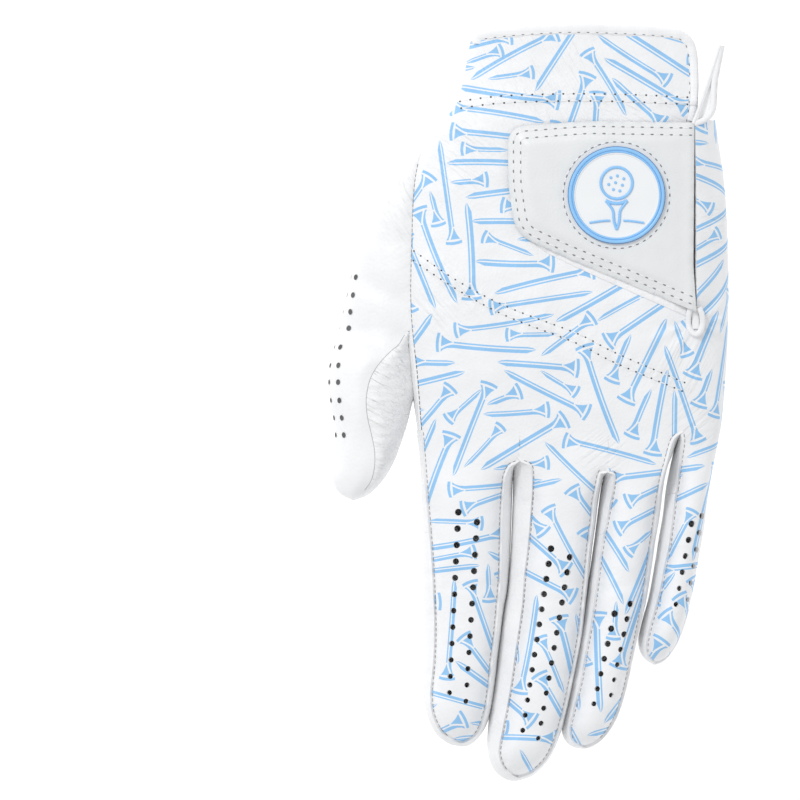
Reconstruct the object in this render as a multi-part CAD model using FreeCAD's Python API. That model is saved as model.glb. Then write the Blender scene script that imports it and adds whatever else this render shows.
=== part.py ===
"""A left-hand golf glove lying palm down, modelled as its sewn pieces. Millimetres.

+Z is the back of the hand, +Y runs from the fingertips to the wrist and the thumb is on the -X side.
The origin is the centre of the glove's bounding box, at the surface it lies on.
Every leather piece is a closed solid of real thickness. The fingers, the thumb, the closure tab
and the little finger's side of the wrist opening are separate bodies, so their ends are cut on the
planes they bend about.
"""
import FreeCAD
import Part
import math
import os
from FreeCAD import Vector as V

# ---- driving dimensions ----
LEATHER = 0.8            # thickness of the sheepskin
CUFF_TOP = 105.0         # y of the wrist edge of the back panel, without its binding
KNUCKLE_Y = -20.0        # bend line of the index, middle and ring fingers
JOINT_GAP = 0.4          # room between two bodies at a bend
BACK_Z = 20.6            # highest line of the back of the hand
SEAM_Z = 15.4            # height of the seam on the thumb's side of the back
SIDE_Z = 9.0             # height of the hand's widest line on the little finger's side
CUFF_SIDE_Z = 8.0        # the same on the cuff beyond the closure
FINGER_FALL = (20.0, 40.0)   # the back gets lower from this y, over this length
SLIT_FALL = (3.4, 4.0, 2.0)  # by this much at the shoulder, the highest line and the slit
SLIT_X = 46.4            # the wrist opening, on the little finger's side of the back
SLIT_Y = 22.0            # its closed end
SLIT_Z = 17.4            # height of the back there
SLIT_WIDTH = 0.6
BADGE = (24.2, 57.6)     # centre of the round badge
BADGE_R = 13.5
BADGE_RING = 1.4
BADGE_LAYER = 0.7        # height of the badge's disc, and of the ring on it
MOTIF = 0.5              # height of the ball and tee on the badge
BALL = (4.2, 3.5, 2.8)   # outer and inner radius of the ball's outline, and its y from the badge's centre
PATCH = 0.9              # thickness of the hook patch and of the loop patch
CLOSURE_GAP = 0.3        # between hooks and loops when closed
TAB = 1.5                # thickness of the tab's outer skin
TAB_LINING = 0.5
BINDING = 0.8            # thickness of the binding tape
BINDING_WIDTH = 3.4
ELASTIC = 0.9
ELASTIC_WIDTH = 6.5
STITCH_ROW_Y = 84.8      # middle of the double row of stitches that holds the wrist elastic
KNUCKLE_ROW = ((-31.0, 39.6), (-14.0, 28.4), (13.0, 17.4), (43.4, 4.0))   # the same at the knuckle elastic
SIDE_FOOT = 3.5          # the side panel ends this far inside the hand's widest line
SIDE_FOOT_Z = 1.2
SIDE_GAP = 0.6           # the opening side of the wrist starts this far above the slit's end
SLIT_LOOP = (3.2, 1.7)   # outer and inner radius of the tape round the slit's closed end
HALF_SPACE = 70.0        # reaches past the glove in x

# Heights of the closure's layers above the back panel's outer face.
LOOP_TOP = PATCH
HOOK_BOTTOM = LOOP_TOP + CLOSURE_GAP
LINING_BOTTOM = HOOK_BOTTOM + PATCH
TAB_BOTTOM = LINING_BOTTOM + TAB_LINING
TAB_TOP = TAB_BOTTOM + TAB

# One row per station: y, then x of the lower left edge, upper left seam, upper right seam, lower right edge.
FINGERS = {
    "index": {
        "top": 15.4, "lean": (-4.6, -76.0), "knuckle": (-17.2, KNUCKLE_Y), "middle_joint": (-18.0, -52.0),
        "rows": [
            (-8.0, -30.2, -29.6, -9.0, -4.9),
            (-27.6, -29.9, -28.0, -8.2, -4.9),
            (-41.6, -29.3, -26.7, -8.4, -5.4),
            (-55.6, -29.0, -26.0, -9.0, -6.7),
            (-69.6, -29.2, -26.2, -10.4, -8.8),
            (-80.8, -29.4, -27.4, -11.4, -10.4),
        ],
        "tip": (-96.2, -19.4),
    },
    "middle": {
        "top": 16.0, "lean": (-11.0, -86.0), "knuckle": (7.6, KNUCKLE_Y), "middle_joint": (3.2, -56.0),
        "rows": [
            (-8.0, -3.6, 1.6, 16.6, 20.0),
            (-27.6, -4.1, 1.0, 17.2, 18.9),
            (-41.6, -4.6, 0.0, 15.8, 16.9),
            (-55.6, -5.9, -1.4, 14.4, 15.1),
            (-69.6, -8.0, -3.3, 12.1, 12.4),
            (-83.6, -10.1, -5.5, 9.5, 9.8),
            (-93.0, -11.2, -7.2, 7.0, 7.2),
        ],
        "tip": (-105.7, -3.6),
    },
    "ring": {
        "top": 15.0, "lean": (-13.2, -77.0), "knuckle": (29.0, KNUCKLE_Y), "middle_joint": (24.4, -52.0),
        "rows": [
            (-8.0, 21.4, 25.0, 36.4, 39.4),
            (-27.6, 19.7, 23.5, 35.4, 36.6),
            (-41.6, 17.7, 21.0, 33.4, 34.3),
            (-55.6, 15.9, 18.7, 30.9, 31.5),
            (-69.6, 13.2, 16.7, 28.3, 28.6),
            (-83.0, 10.5, 13.5, 25.4, 25.6),
        ],
        "tip": (-96.6, 15.2),
    },
    "little": {
        "top": 13.4, "lean": (-11.0, -62.0), "knuckle": (46.6, -11.6), "middle_joint": (42.2, -38.0),
        "rows": [
            (0.0, 42.6, 45.4, 52.4, 54.2),
            (-19.2, 38.9, 42.5, 50.4, 51.4),
            (-27.6, 37.5, 41.4, 49.2, 50.1),
            (-41.6, 35.1, 39.5, 47.2, 47.9),
            (-55.6, 32.3, 37.0, 44.4, 45.1),
            (-62.0, 31.0, 34.8, 42.8, 43.4),
        ],
        "tip": (-73.2, 36.0),
    },
}
# Plan lines, in x, midway between the fingers at their bend lines.
FINGER_GAPS = {"index": (-40.0, -4.4), "middle": (-4.4, 19.9), "ring": (19.9, 38.2), "little": (38.2, 62.0)}

# The thumb: y, then x of the outer side, of the seam along its top and of the side next to the palm.
THUMB_ROWS = [
    (28.0, -51.0, -36.0, -33.9),
    (20.0, -53.2, -37.0, -33.6),
    (7.4, -56.2, -43.4, -33.0),
    (-3.0, -55.4, -45.4, -33.6),
    (-10.8, -54.3, -44.2, -35.4),
    (-16.4, -54.6, -43.2, -37.5),
    (-21.4, -54.9, -43.8, -40.3),
]
THUMB_TIP = (-27.7, -48.6)
THUMB_TOP = 16.4
THUMB_LEAN = (-6.0, -48.0)
THUMB_BASE = (-43.6, 19.0)
THUMB_JOINT = (-45.2, -4.0)

# The back of the hand. y, x of the thumb-side seam.
BACK_SEAM = [(-26.0, -28.6), (-17.2, -29.3), (3.8, -31.0), (22.8, -32.8), (50.3, -33.0), (66.8, -31.2),
             (75.2, -26.4), (85.0, -19.8), (96.7, -17.2), (106.0, -15.2)]
# y, x of the little finger's side.
SIDE = [(-26.0, 49.6), (-10.8, 53.0), (8.3, 55.5), (23.4, 56.1), (49.7, 55.2), (73.5, 53.3), (84.0, 51.6)]
# y, x of the thenar bulge at the thumb's root.
THENAR = [(14.0, -54.6), (20.0, -53.3), (29.5, -50.8), (40.4, -47.8), (50.3, -43.4), (60.6, -37.4),
          (69.6, -31.4)]
PALM_WRIST_Y = 99.0
PALM_START_Y = -26.0     # the hand's pieces start here, before they are cut at the bend lines
# The side of the cuff beyond the closure: y, x and z of its bound edge, x of its widest line.
CUFF_SIDE = [(78.6, 46.9, 21.4, 53.0), (84.7, 48.6, 17.4, 52.2), (90.7, 50.4, 14.4, 53.0),
             (97.6, 52.2, 11.6, 53.9)]

# Plan outlines of the closure. The tab bends at its root, beside the wrist opening.
TAB_ROOT_X = SLIT_X - SLIT_WIDTH - 0.2
TAB_CORNERS = [(TAB_ROOT_X, 78.0), (18.0, 78.0), (-6.2, 76.0), (-4.8, 48.6), (TAB_ROOT_X, 24.4)]
TAB_RADII = [0, 60.0, 5.0, 9.0, 0]
HOOK_CORNERS = [(TAB_ROOT_X - 3.0, 72.0), (-1.6, 72.0), (-0.6, 51.0), (TAB_ROOT_X - 3.0, 31.4)]
LOOP_CORNERS = [(TAB_ROOT_X - 2.0, 73.5), (-3.0, 73.5), (-2.0, 50.0), (TAB_ROOT_X - 2.0, 29.6)]
PATCH_RADII = [2.0, 4.0, 6.0, 2.0]


def at(table, y):
    """Straight-line value of a (y, x) table at y."""
    rows = sorted(table)
    if y <= rows[0][0]:
        return rows[0][1]
    for (y0, x0), (y1, x1) in zip(rows, rows[1:]):
        if y <= y1:
            return x0 + (x1 - x0) * (y - y0) / (y1 - y0)
    return rows[-1][1]


def inward(points, thickness):
    """The points moved inward by the wall's thickness, for a line that runs clockwise round the section."""
    moved = []
    last = len(points) - 1
    for i, (x, z) in enumerate(points):
        sides = []
        for a, b in ((i - 1, i), (i, i + 1)):
            if 0 <= a and b <= last:
                dx, dz = points[b][0] - points[a][0], points[b][1] - points[a][1]
                size = (dx * dx + dz * dz) ** 0.5
                sides.append((dz / size, -dx / size))
        nx, nz = sum(s[0] for s in sides), sum(s[1] for s in sides)
        size = (nx * nx + nz * nz) ** 0.5
        nx, nz = nx / size, nz / size
        stretch = nx * sides[0][0] + nz * sides[0][1]
        moved.append((x + nx * thickness / stretch, z + nz * thickness / stretch))
    return moved


def loft(sections):
    """A solid through closed sections of equal corner counts. Each is (y, [(x, z), ...])."""
    wires = [Part.makePolygon([V(x, y, z) for x, z in pts + pts[:1]]) for y, pts in sections]
    return Part.makeLoft(wires, True, True)


def closed_offset(points, thickness):
    """Inward offset of a closed clockwise section."""
    ring = [points[-1]] + points + [points[0]]
    return inward(ring, thickness)[1:-1]


def walls(stations, spans, thickness=LEATHER):
    """Wall solids of a tube. stations: (y, closed clockwise corners). spans: name -> corner numbers in order."""
    made = {}
    for name, corners in spans.items():
        sections = []
        for y, pts in stations:
            inner = closed_offset(pts, thickness)
            sections.append((y, [pts[i] for i in corners] + [inner[i] for i in reversed(corners)]))
        made[name] = loft(sections)
    return made


def capped(wall, station):
    """The wall with the fingertip's end, a plate over the tube's last section."""
    y, points = station
    return wall.fuse(loft([(y - LEATHER, points), (y, points)])).removeSplitter()


def prism(points, z0=-5.0, z1=45.0):
    face = Part.Face(Part.makePolygon([V(x, y, z0) for x, y in points + points[:1]]))
    return face.extrude(V(0, 0, z1 - z0))


def rounded(points, radii, z0=-5.0, z1=45.0):
    """A prism on a polygon whose corners are tangent arcs of the given radii, 0 for a sharp corner."""
    count = len(points)
    edges, ends = [], []
    for i, r in enumerate(radii):
        p = V(*points[i], z0)
        if not r:
            ends.append((p, None, p))
            continue
        a = (V(*points[i - 1], z0) - p).normalize()
        b = (V(*points[(i + 1) % count], z0) - p).normalize()
        half = a.getAngle(b) / 2
        reach = r / math.tan(half)
        middle = p + (a + b).normalize() * (r / math.sin(half) - r)
        ends.append((p + a * reach, middle, p + b * reach))
    for i in range(count):
        start, middle, end = ends[i]
        if middle is not None:
            edges.append(Part.Arc(start, middle, end).toShape())
        following = ends[(i + 1) % count][0]
        if (following - end).Length > 1e-6:
            edges.append(Part.LineSegment(end, following).toShape())
    return Part.Face(Part.Wire(edges)).extrude(V(0, 0, z1 - z0))


def beyond(point, lean, x0, x1, gap):
    """The space on the fingertip side of a bend line. lean is the finger's direction in plan."""
    size = (lean[0] ** 2 + lean[1] ** 2) ** 0.5
    dx, dy = lean[0] / size, lean[1] / size
    slope = -dx / dy

    def y_of(x):
        return point[1] + slope * (x - point[0]) + gap / dy

    far = -150.0
    return prism([(x0, y_of(x0)), (x1, y_of(x1)), (x1, far), (x0, far)])


def back_section(y):
    """Corners of the back's outer face at y, from the thumb-side seam to the wrist opening."""
    start, length = FINGER_FALL
    fall = min(1.0, max(0.0, (start - y) / length))
    shoulder, crown, slit = [share * fall for share in SLIT_FALL]
    seam = at(BACK_SEAM, y)
    return [(seam, SEAM_Z), (seam + 17.0, BACK_Z - 1.0 - shoulder), (8.0, BACK_Z - crown),
            (SLIT_X, SLIT_Z - slit)]


def slab(low, high, y0=PALM_START_Y, y1=108.0):
    """The space between two heights above the back panel's outer face, wider than the glove."""
    sections = []
    for y in sorted({y0, y1} | {r[0] for r in BACK_SEAM if y0 < r[0] < y1} | {FINGER_FALL[0], SLIT_Y}):
        line = back_section(y)
        wide = line + [(SLIT_X + 12.0, line[-1][1] - 1.2)]
        sections.append((y, [(x, z + high) for x, z in wide] + [(x, z + low) for x, z in reversed(wide)]))
    return loft(sections)


def finger(f):
    """The four walls of a finger, cut at its bend lines: {wall: solid}, tip_ for those of the far segment."""
    top = f["top"]
    stations = []
    for y, bl, tl, tr, br in f["rows"]:
        crown = (tl + tr) / 2
        stations.append((y, [(bl, 0.0), (bl - 0.1, 3.0), (tl, top - 1.6), (crown, top), (tr, top - 1.6),
                             (br + 0.1, 3.0), (br, 0.0)]))
    y_last, section = stations[-1]
    tip_y, tip_x = f["tip"]
    for share, size in ((0.45, 0.86), (0.8, 0.6), (1.0, 0.3)):
        y = y_last + (tip_y + LEATHER - y_last) * share
        mid = (section[0][0] + section[-1][0]) / 2
        centre = mid + (tip_x - mid) * share
        stations.append((y, [(centre + (x - mid) * size, 5.0 + (z - 5.0) * size - 1.5 * (1 - size) * (z > 4))
                             for x, z in section]))
    spans = {"back": [2, 3, 4], "right": [4, 5, 6], "front": [6, 0], "left": [0, 1, 2]}
    made = walls(stations, spans)
    made["back"] = capped(made["back"], stations[-1])
    near = beyond(f["knuckle"], f["lean"], -HALF_SPACE, HALF_SPACE, JOINT_GAP / 2)
    far = beyond(f["middle_joint"], f["lean"], -HALF_SPACE, HALF_SPACE, JOINT_GAP / 2)
    stop = beyond(f["middle_joint"], f["lean"], -HALF_SPACE, HALF_SPACE, -JOINT_GAP / 2)
    segments = {}
    for wall, solid in made.items():
        segments[wall] = solid.common(near).cut(stop)
        segments["tip_" + wall] = solid.common(far)
    return segments


def fingers():
    nodes = {}
    for name, f in FINGERS.items():
        cut = finger(f)
        for part in ("", "tip_"):
            where = name + ("_tip" if part else "")
            nodes[where + "_back"] = cut[part + "back"]
            nodes[where + "_front"] = cut[part + "front"]
            if name == "index":
                nodes[where + "_side"] = cut[part + "left"]
                nodes[where + "_fourchette"] = cut[part + "right"]
            elif name == "little":
                nodes[where + "_fourchette"] = cut[part + "left"]
                nodes[where + "_side"] = cut[part + "right"]
            else:
                nodes[where + "_fourchette_left"] = cut[part + "left"]
                nodes[where + "_fourchette_right"] = cut[part + "right"]
    return nodes


def thumb():
    """The thumb's smooth front piece and its gathered back piece, cut at the middle joint."""
    stations = []
    for y, left, seam, right in THUMB_ROWS:
        stations.append((y, [(left + 4.0, 0.0), (left, 7.0), (left + 5.0, THUMB_TOP - 2.4), (seam, THUMB_TOP),
                             (right - 1.0, THUMB_TOP - 4.0), (right, 7.0), (right - 2.6, 0.0)]))
    y_last, section = stations[-1]
    tip_y, tip_x = THUMB_TIP
    for share, size in ((0.5, 0.8), (1.0, 0.35)):
        y = y_last + (tip_y + LEATHER - y_last) * share
        mid = (section[0][0] + section[-1][0]) / 2
        centre = mid + (tip_x - mid) * share
        stations.append((y, [(centre + (x - mid) * size, 6.0 + (z - 6.0) * size) for x, z in section]))
    made = walls(stations, {"front": [6, 0, 1, 2, 3], "back": [3, 4, 5, 6]})
    made["front"] = capped(made["front"], stations[-1])
    near = beyond(THUMB_BASE, THUMB_LEAN, -HALF_SPACE, HALF_SPACE, JOINT_GAP / 2)
    far = beyond(THUMB_JOINT, THUMB_LEAN, -HALF_SPACE, HALF_SPACE, JOINT_GAP / 2)
    stop = beyond(THUMB_JOINT, THUMB_LEAN, -HALF_SPACE, HALF_SPACE, -JOINT_GAP / 2)
    nodes = {}
    for wall, solid in made.items():
        nodes["thumb_" + wall] = solid.common(near).cut(stop)
        nodes["thumb_tip_" + wall] = solid.common(far)
    return nodes


def finger_space():
    """Where the fingers and the thumb are, so that the hand's pieces end at their bend lines."""
    spaces = []
    for name, f in FINGERS.items():
        spaces.append(beyond(f["knuckle"], f["lean"], *FINGER_GAPS[name], -JOINT_GAP / 2))
    spaces.append(beyond(THUMB_BASE, THUMB_LEAN, -HALF_SPACE, -33.3, -JOINT_GAP / 2))
    return spaces


def trimmed(solid, spaces):
    for s in spaces:
        solid = solid.cut(s)
    return solid


def strip(lines, thickness=LEATHER):
    """A wall from open clockwise lines. lines: (y, [(x, z), ...])."""
    return loft([(y, pts + list(reversed(inward(pts, thickness)))) for y, pts in lines])


def stations_between(y0, y1, *tables):
    return sorted({y0, y1} | {r[0] for t in tables for r in t if y0 < r[0] < y1})


def cuff_outline(inset):
    """Plan outline of the back panel above the closure, inset from the bound edge."""
    top, right, left = CUFF_TOP + BINDING - inset, 47.6 - inset, -13.6 + inset * 0.2
    return rounded([(-60.0, -40.0), (-60.0, 60.0), (-31.0, 70.0), (left - 2.8, top - 5.0), (left + 1.5, top - 0.9),
                    (15.0, top), (right - 1.0, top - 1.4), (right, 78.0), (SLIT_X - SLIT_WIDTH, 70.0),
                    (SLIT_X - SLIT_WIDTH, SLIT_Y), (70.0, SLIT_Y), (70.0, -40.0)],
                   [0, 0, 0, 0, 3.0, 0, 6.0, 0, 0, 0, 0, 0])


def hand():
    spaces = finger_space()
    nodes = {}
    # back panel, with its own side below the wrist opening
    back = slab(-LEATHER, 0.0, PALM_START_Y, 106.5).common(cuff_outline(BINDING))
    back = back.cut(prism([(SLIT_X, -40.0), (70.0, -40.0), (70.0, 120.0), (48.5, 120.0), (48.5, 76.0),
                           (SLIT_X, 74.0)]))
    low_side = []
    for y in stations_between(PALM_START_Y, SLIT_Y, SIDE, BACK_SEAM, [FINGER_FALL]):
        slit_edge, side = back_section(y)[-1], at(SIDE, y)
        low_side.append((y, [slit_edge, (side, SIDE_Z), (side - SIDE_FOOT, SIDE_FOOT_Z)]))
    nodes["back_panel"] = trimmed(back.fuse(strip(low_side)), spaces)
    # thumb-side edge of the wrist, which the back leather covers down to mid height
    edge = []
    for y in stations_between(69.6, CUFF_TOP, BACK_SEAM):
        seam = at(BACK_SEAM, y)
        edge.append((y, [(seam - 3.0, 0.0), (seam - 3.6, 8.0), (seam, SEAM_Z)]))
    nodes["wrist_side"] = strip(edge)
    # thenar panel at the thumb's root
    bulge = []
    for y in stations_between(14.0, 69.6, THENAR):
        out, seam = at(THENAR, y), at(BACK_SEAM, y)
        bulge.append((y, [(out + 4.0, 0.0), (out - 0.2, 7.0), (min(out + 5.0, seam - 0.6), 13.6),
                          (seam, SEAM_Z)]))
    nodes["thenar_panel"] = trimmed(strip(bulge), spaces)
    # palm, flat on the surface, with the wall that runs up to the index finger's seam
    right_edge, left_edge = [], []
    for y in stations_between(PALM_START_Y, PALM_WRIST_Y, BACK_SEAM, SIDE, THENAR, [(19.0, 0), (19.4, 0)]):
        if y < 19.2:
            left = at(BACK_SEAM, y) - 0.6
        elif y < THENAR[-1][0]:
            left = at(THENAR, y) + 4.2
        else:
            left = at(BACK_SEAM, y) - 2.8
        right_edge.append((at(SIDE, y) - 4.2, y))
        left_edge.append((left, y))
    palm = prism(right_edge + left_edge[::-1], 0.0, LEATHER)
    wall = []
    for y in stations_between(PALM_START_Y, 19.0, BACK_SEAM):
        seam = at(BACK_SEAM, y)
        wall.append((y, [(seam - 0.6, 0.0), (seam - 0.6, 8.0), (seam, SEAM_Z)]))
    nodes["palm_panel"] = trimmed(palm.fuse(strip(wall)), spaces)
    # each seam is a butt joint: the piece named later gives way
    for name, others in (("wrist_side", ["back_panel"]), ("thenar_panel", ["back_panel", "wrist_side"]),
                         ("palm_panel", ["back_panel", "wrist_side", "thenar_panel"])):
        for other in others:
            nodes[name] = nodes[name].cut(nodes[other])
    return nodes


def ribbon(points, width, z0, z1):
    """A flat band that follows the back's curve, on a centre line of plan points."""
    pieces = []
    for (xa, ya), (xb, yb) in zip(points, points[1:]):
        size = math.hypot(xb - xa, yb - ya)
        nx, ny = -(yb - ya) / size * width / 2, (xb - xa) / size * width / 2
        pieces.append(prism([(xa - nx, ya - ny), (xb - nx, yb - ny), (xb + nx, yb + ny), (xa + nx, ya + ny)]))
    plan = pieces[0].multiFuse(pieces[1:]) if len(pieces) > 1 else pieces[0]
    return slab(z0, z1).common(plan)


def cuff_trim(back):
    """The elastics under the back panel, the tape on the wrist edge and the tape round the slit's end."""
    nodes = {}
    row = [(at(BACK_SEAM, STITCH_ROW_Y) + 1.6, STITCH_ROW_Y), (SLIT_X - 1.6, STITCH_ROW_Y)]
    elastic = ribbon(row, ELASTIC_WIDTH, -LEATHER - ELASTIC, -LEATHER)
    nodes["knuckle_elastic"] = ribbon(KNUCKLE_ROW, ELASTIC_WIDTH, -LEATHER - ELASTIC, -LEATHER)
    below_cuff = prism([(-80, -50), (80, -50), (80, 80), (-80, 80)])
    band = cuff_outline(0.0).cut(cuff_outline(BINDING_WIDTH)).cut(below_cuff)
    folded = slab(-LEATHER - BINDING, BINDING, 60.0, 108.0).common(band).cut(back)
    nodes["cuff_binding"] = folded.cut(prism([(-40.0, 70.0), (-14.9, 70.0), (-14.9, 120.0), (-40.0, 120.0)]))
    outer, hole = [Part.makeCylinder(r, 60.0, V(SLIT_X - 0.3, SLIT_Y + 1.0, -5.0)) for r in SLIT_LOOP]
    nodes["wrist_elastic"] = elastic.cut(nodes["cuff_binding"])
    above_slit = prism([(30, SLIT_Y), (60, SLIT_Y), (60, 60), (30, 60)])
    nodes["slit_binding"] = slab(0.0, BINDING).common(outer.cut(hole)).cut(above_slit)
    return nodes


def wrist_opening():
    """The little finger's side of the wrist, which turns outwards to let the hand in."""
    nodes = {}
    panel = []
    for y in stations_between(SLIT_Y + SIDE_GAP, CUFF_SIDE[0][0], SIDE, [(28.0, 0)]):
        side = at(SIDE, y)
        rise = TAB_TOP * min(1.0, (y - SLIT_Y - SIDE_GAP) / 6.0)
        top = (SLIT_X + 0.2, back_section(y)[-1][1] + rise)
        panel.append((y, [top, (side, SIDE_Z), (side - SIDE_FOOT, SIDE_FOOT_Z)]))
    nodes["side_panel"] = strip(panel)
    cuff = []
    for y, x, z, side in CUFF_SIDE:
        cuff.append((y, [(x, z), (side, CUFF_SIDE_Z), (side - SIDE_FOOT, SIDE_FOOT_Z)]))
    nodes["cuff_side"] = strip(cuff)
    edge = []
    for y, x, z, side in CUFF_SIDE:
        out = (side - x) / math.hypot(side - x, z - CUFF_SIDE_Z)
        edge.append((y, [(x - 0.9 * out, z + 1.1), (x + 0.9, z + 1.1), (x + 0.9 + out, z - 1.6),
                         (x + 1.4 * out, z - 1.4)]))
    nodes["cuff_side_binding"] = loft(edge).cut(nodes["cuff_side"]).cut(nodes["side_panel"])
    return nodes


def closure():
    """The tab with its lining, the hook and loop patches and the round badge with a ball on a tee."""
    nodes = {}
    outline = rounded(TAB_CORNERS, TAB_RADII)
    nodes["tab_skin"] = slab(TAB_BOTTOM, TAB_TOP).common(outline)
    nodes["tab_lining"] = slab(LINING_BOTTOM, TAB_BOTTOM).common(outline)
    nodes["hook_patch"] = slab(HOOK_BOTTOM, LINING_BOTTOM).common(rounded(HOOK_CORNERS, PATCH_RADII))
    nodes["loop_patch"] = slab(0.0, LOOP_TOP).common(rounded(LOOP_CORNERS, PATCH_RADII))

    def disc(r, z0, z1):
        return slab(z0, z1).common(Part.makeCylinder(r, 60.0, V(*BADGE, -5.0)))

    base_top = TAB_TOP + BADGE_LAYER
    ring_top = base_top + BADGE_LAYER
    nodes["badge_base"] = disc(BADGE_R, TAB_TOP, base_top)
    nodes["badge_ring"] = disc(BADGE_R, base_top, ring_top).cut(disc(BADGE_R - BADGE_RING, 0.0, 40.0))
    x, y = BADGE
    ball_r, ball_hole, ball_y = BALL
    centre = V(x, y + ball_y, -5.0)
    ball = Part.makeCylinder(ball_r, 60.0, centre).cut(Part.makeCylinder(ball_hole, 60.0, centre))
    tee = prism([(x - 3.4, y - 2.3), (x + 3.4, y - 2.3), (x + 1.0, y - 4.0), (x + 0.5, y - 8.4), (x, y - 9.4),
                 (x - 0.5, y - 8.4), (x - 1.0, y - 4.0)])
    raised = slab(base_top, base_top + MOTIF)
    nodes["badge_motif"] = Part.makeCompound([raised.common(s) for s in (ball, tee)])
    return nodes


def main():
    nodes = {}
    nodes.update(hand())
    nodes.update(cuff_trim(nodes["back_panel"]))
    nodes.update(wrist_opening())
    nodes.update(fingers())
    nodes.update(thumb())
    nodes.update(closure())
    box = Part.makeCompound(list(nodes.values())).BoundBox
    to_origin = V(-box.Center.x, -box.Center.y, -box.ZMin)
    print("moved to the origin by", to_origin, "size", box.XLength, box.YLength, box.ZLength)
    os.makedirs("parts", exist_ok=True)
    for name, shape in nodes.items():
        shape.translate(to_origin)
        ok = all(s.isValid() and s.isClosed() for s in shape.Solids) and len(shape.Solids) > 0
        print(f"{name:24s} solids {len(shape.Solids)} volume {shape.Volume:9.1f} {'' if ok else 'BAD'}")
        shape.exportStep(f"parts/{name}.step")


main()
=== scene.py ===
"""A left-hand golf glove, palm down.

Lengths in the making are millimetres; placed() turns them into the frame's metres.
"""
import math
import random

import bpy
import numpy as np
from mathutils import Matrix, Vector, bvhtree, geometry, kdtree


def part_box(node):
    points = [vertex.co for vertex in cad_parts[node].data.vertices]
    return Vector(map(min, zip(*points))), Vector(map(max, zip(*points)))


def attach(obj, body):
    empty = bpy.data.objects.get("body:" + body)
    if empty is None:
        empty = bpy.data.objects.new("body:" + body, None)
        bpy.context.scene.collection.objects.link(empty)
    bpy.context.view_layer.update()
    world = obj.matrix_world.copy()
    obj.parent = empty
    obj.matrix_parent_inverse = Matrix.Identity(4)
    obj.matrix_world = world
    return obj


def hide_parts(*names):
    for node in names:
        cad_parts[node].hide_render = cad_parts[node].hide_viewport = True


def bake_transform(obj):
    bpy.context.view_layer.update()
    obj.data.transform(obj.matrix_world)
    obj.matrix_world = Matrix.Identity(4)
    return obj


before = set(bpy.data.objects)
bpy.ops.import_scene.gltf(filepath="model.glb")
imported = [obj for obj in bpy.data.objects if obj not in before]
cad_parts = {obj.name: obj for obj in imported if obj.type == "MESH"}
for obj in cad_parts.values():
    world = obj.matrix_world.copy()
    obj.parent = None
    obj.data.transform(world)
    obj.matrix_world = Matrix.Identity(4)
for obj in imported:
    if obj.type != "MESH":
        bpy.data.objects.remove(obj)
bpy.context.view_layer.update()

# ---- sizes, in millimetres ----
BADGE = (24.2, 57.6)
BADGE_R = 13.5
LEATHER = 0.8             # thickness of the printed leather
SHEET = 0.7               # thickness of the plain leather
SLIT_X = 46.4
SLIT_Y = 22.0
KNUCKLE_Y = -20.0
HAND_EDGE_Y = -8.0        # the back panel is divided here into the hand's and the fingers' leather
GRID = 1.3                # spacing of the panels' mesh
HAND_Z = 20.4
SIDE_Z = 7.5              # height of the hand's widest line
WRAP = 9.0                # width of the stretch where the print turns over the little finger's side
WRAP_STRETCH = 1.45       # how much more of the flat print this stretch takes up
UNDERLAP = 8.0            # length of the print beyond it, down to the palm
PALM_EDGE = 3.6           # how far a rounded side turns in under the palm
PROFILE_POINTS = 22       # points in each row over a rounded side
BEND_HEIGHT = 8           # height of the ends of a bend zone
FINGER_REACH = 7.0        # length of a finger's bend zone on each side of its joint
LITTLE_REACH = 3.2        # the same on the hand's side of the little finger's knuckle, where the seam is nearer
UP = np.array([0.0, 0.0, 1.0])
TEE_BLUE = (0.28, 0.55, 0.86)

badge_low, badge_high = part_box("badge_base")
SHIFT = np.array([(badge_low.x + badge_high.x) / 2 * 1000 - BADGE[0],
                  (badge_low.y + badge_high.y) / 2 * 1000 - BADGE[1], 0.0])


def placed(points):
    return (np.asarray(points, float) + SHIFT) * 0.001


def spot(x, y, z):
    return tuple(placed([[x, y, z]])[0])


# ---- curves and tables ----
def smooth_line(points, step=1.2, closed=False):
    """A Catmull-Rom line through the points, sampled about every step."""
    p = np.asarray(points, float)
    n = len(p)
    out = []
    for i in range(n if closed else n - 1):
        if closed:
            a, b, c, d = p[(i - 1) % n], p[i], p[(i + 1) % n], p[(i + 2) % n]
        else:
            a, b, c, d = p[max(i - 1, 0)], p[i], p[i + 1], p[min(i + 2, n - 1)]
        count = max(1, int(round(np.linalg.norm(c - b) / step)))
        for k in range(count):
            t = k / count
            out.append(0.5 * (2 * b + (c - a) * t + (2 * a - 5 * b + 4 * c - d) * t * t + (3 * b - a - 3 * c + d) * t ** 3))
    if not closed:
        out.append(p[-1])
    return np.array(out)


def table(rows):
    """x as a smooth function of y, from (x, y) rows."""
    line = smooth_line(rows, 0.5)
    order = np.argsort(line[:, 1])
    ys, xs = line[order, 1], line[order, 0]
    return lambda y: np.interp(y, ys, xs)


def ease(t):
    t = np.clip(t, 0.0, 1.0)
    return t * t * (3 - 2 * t)


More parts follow.
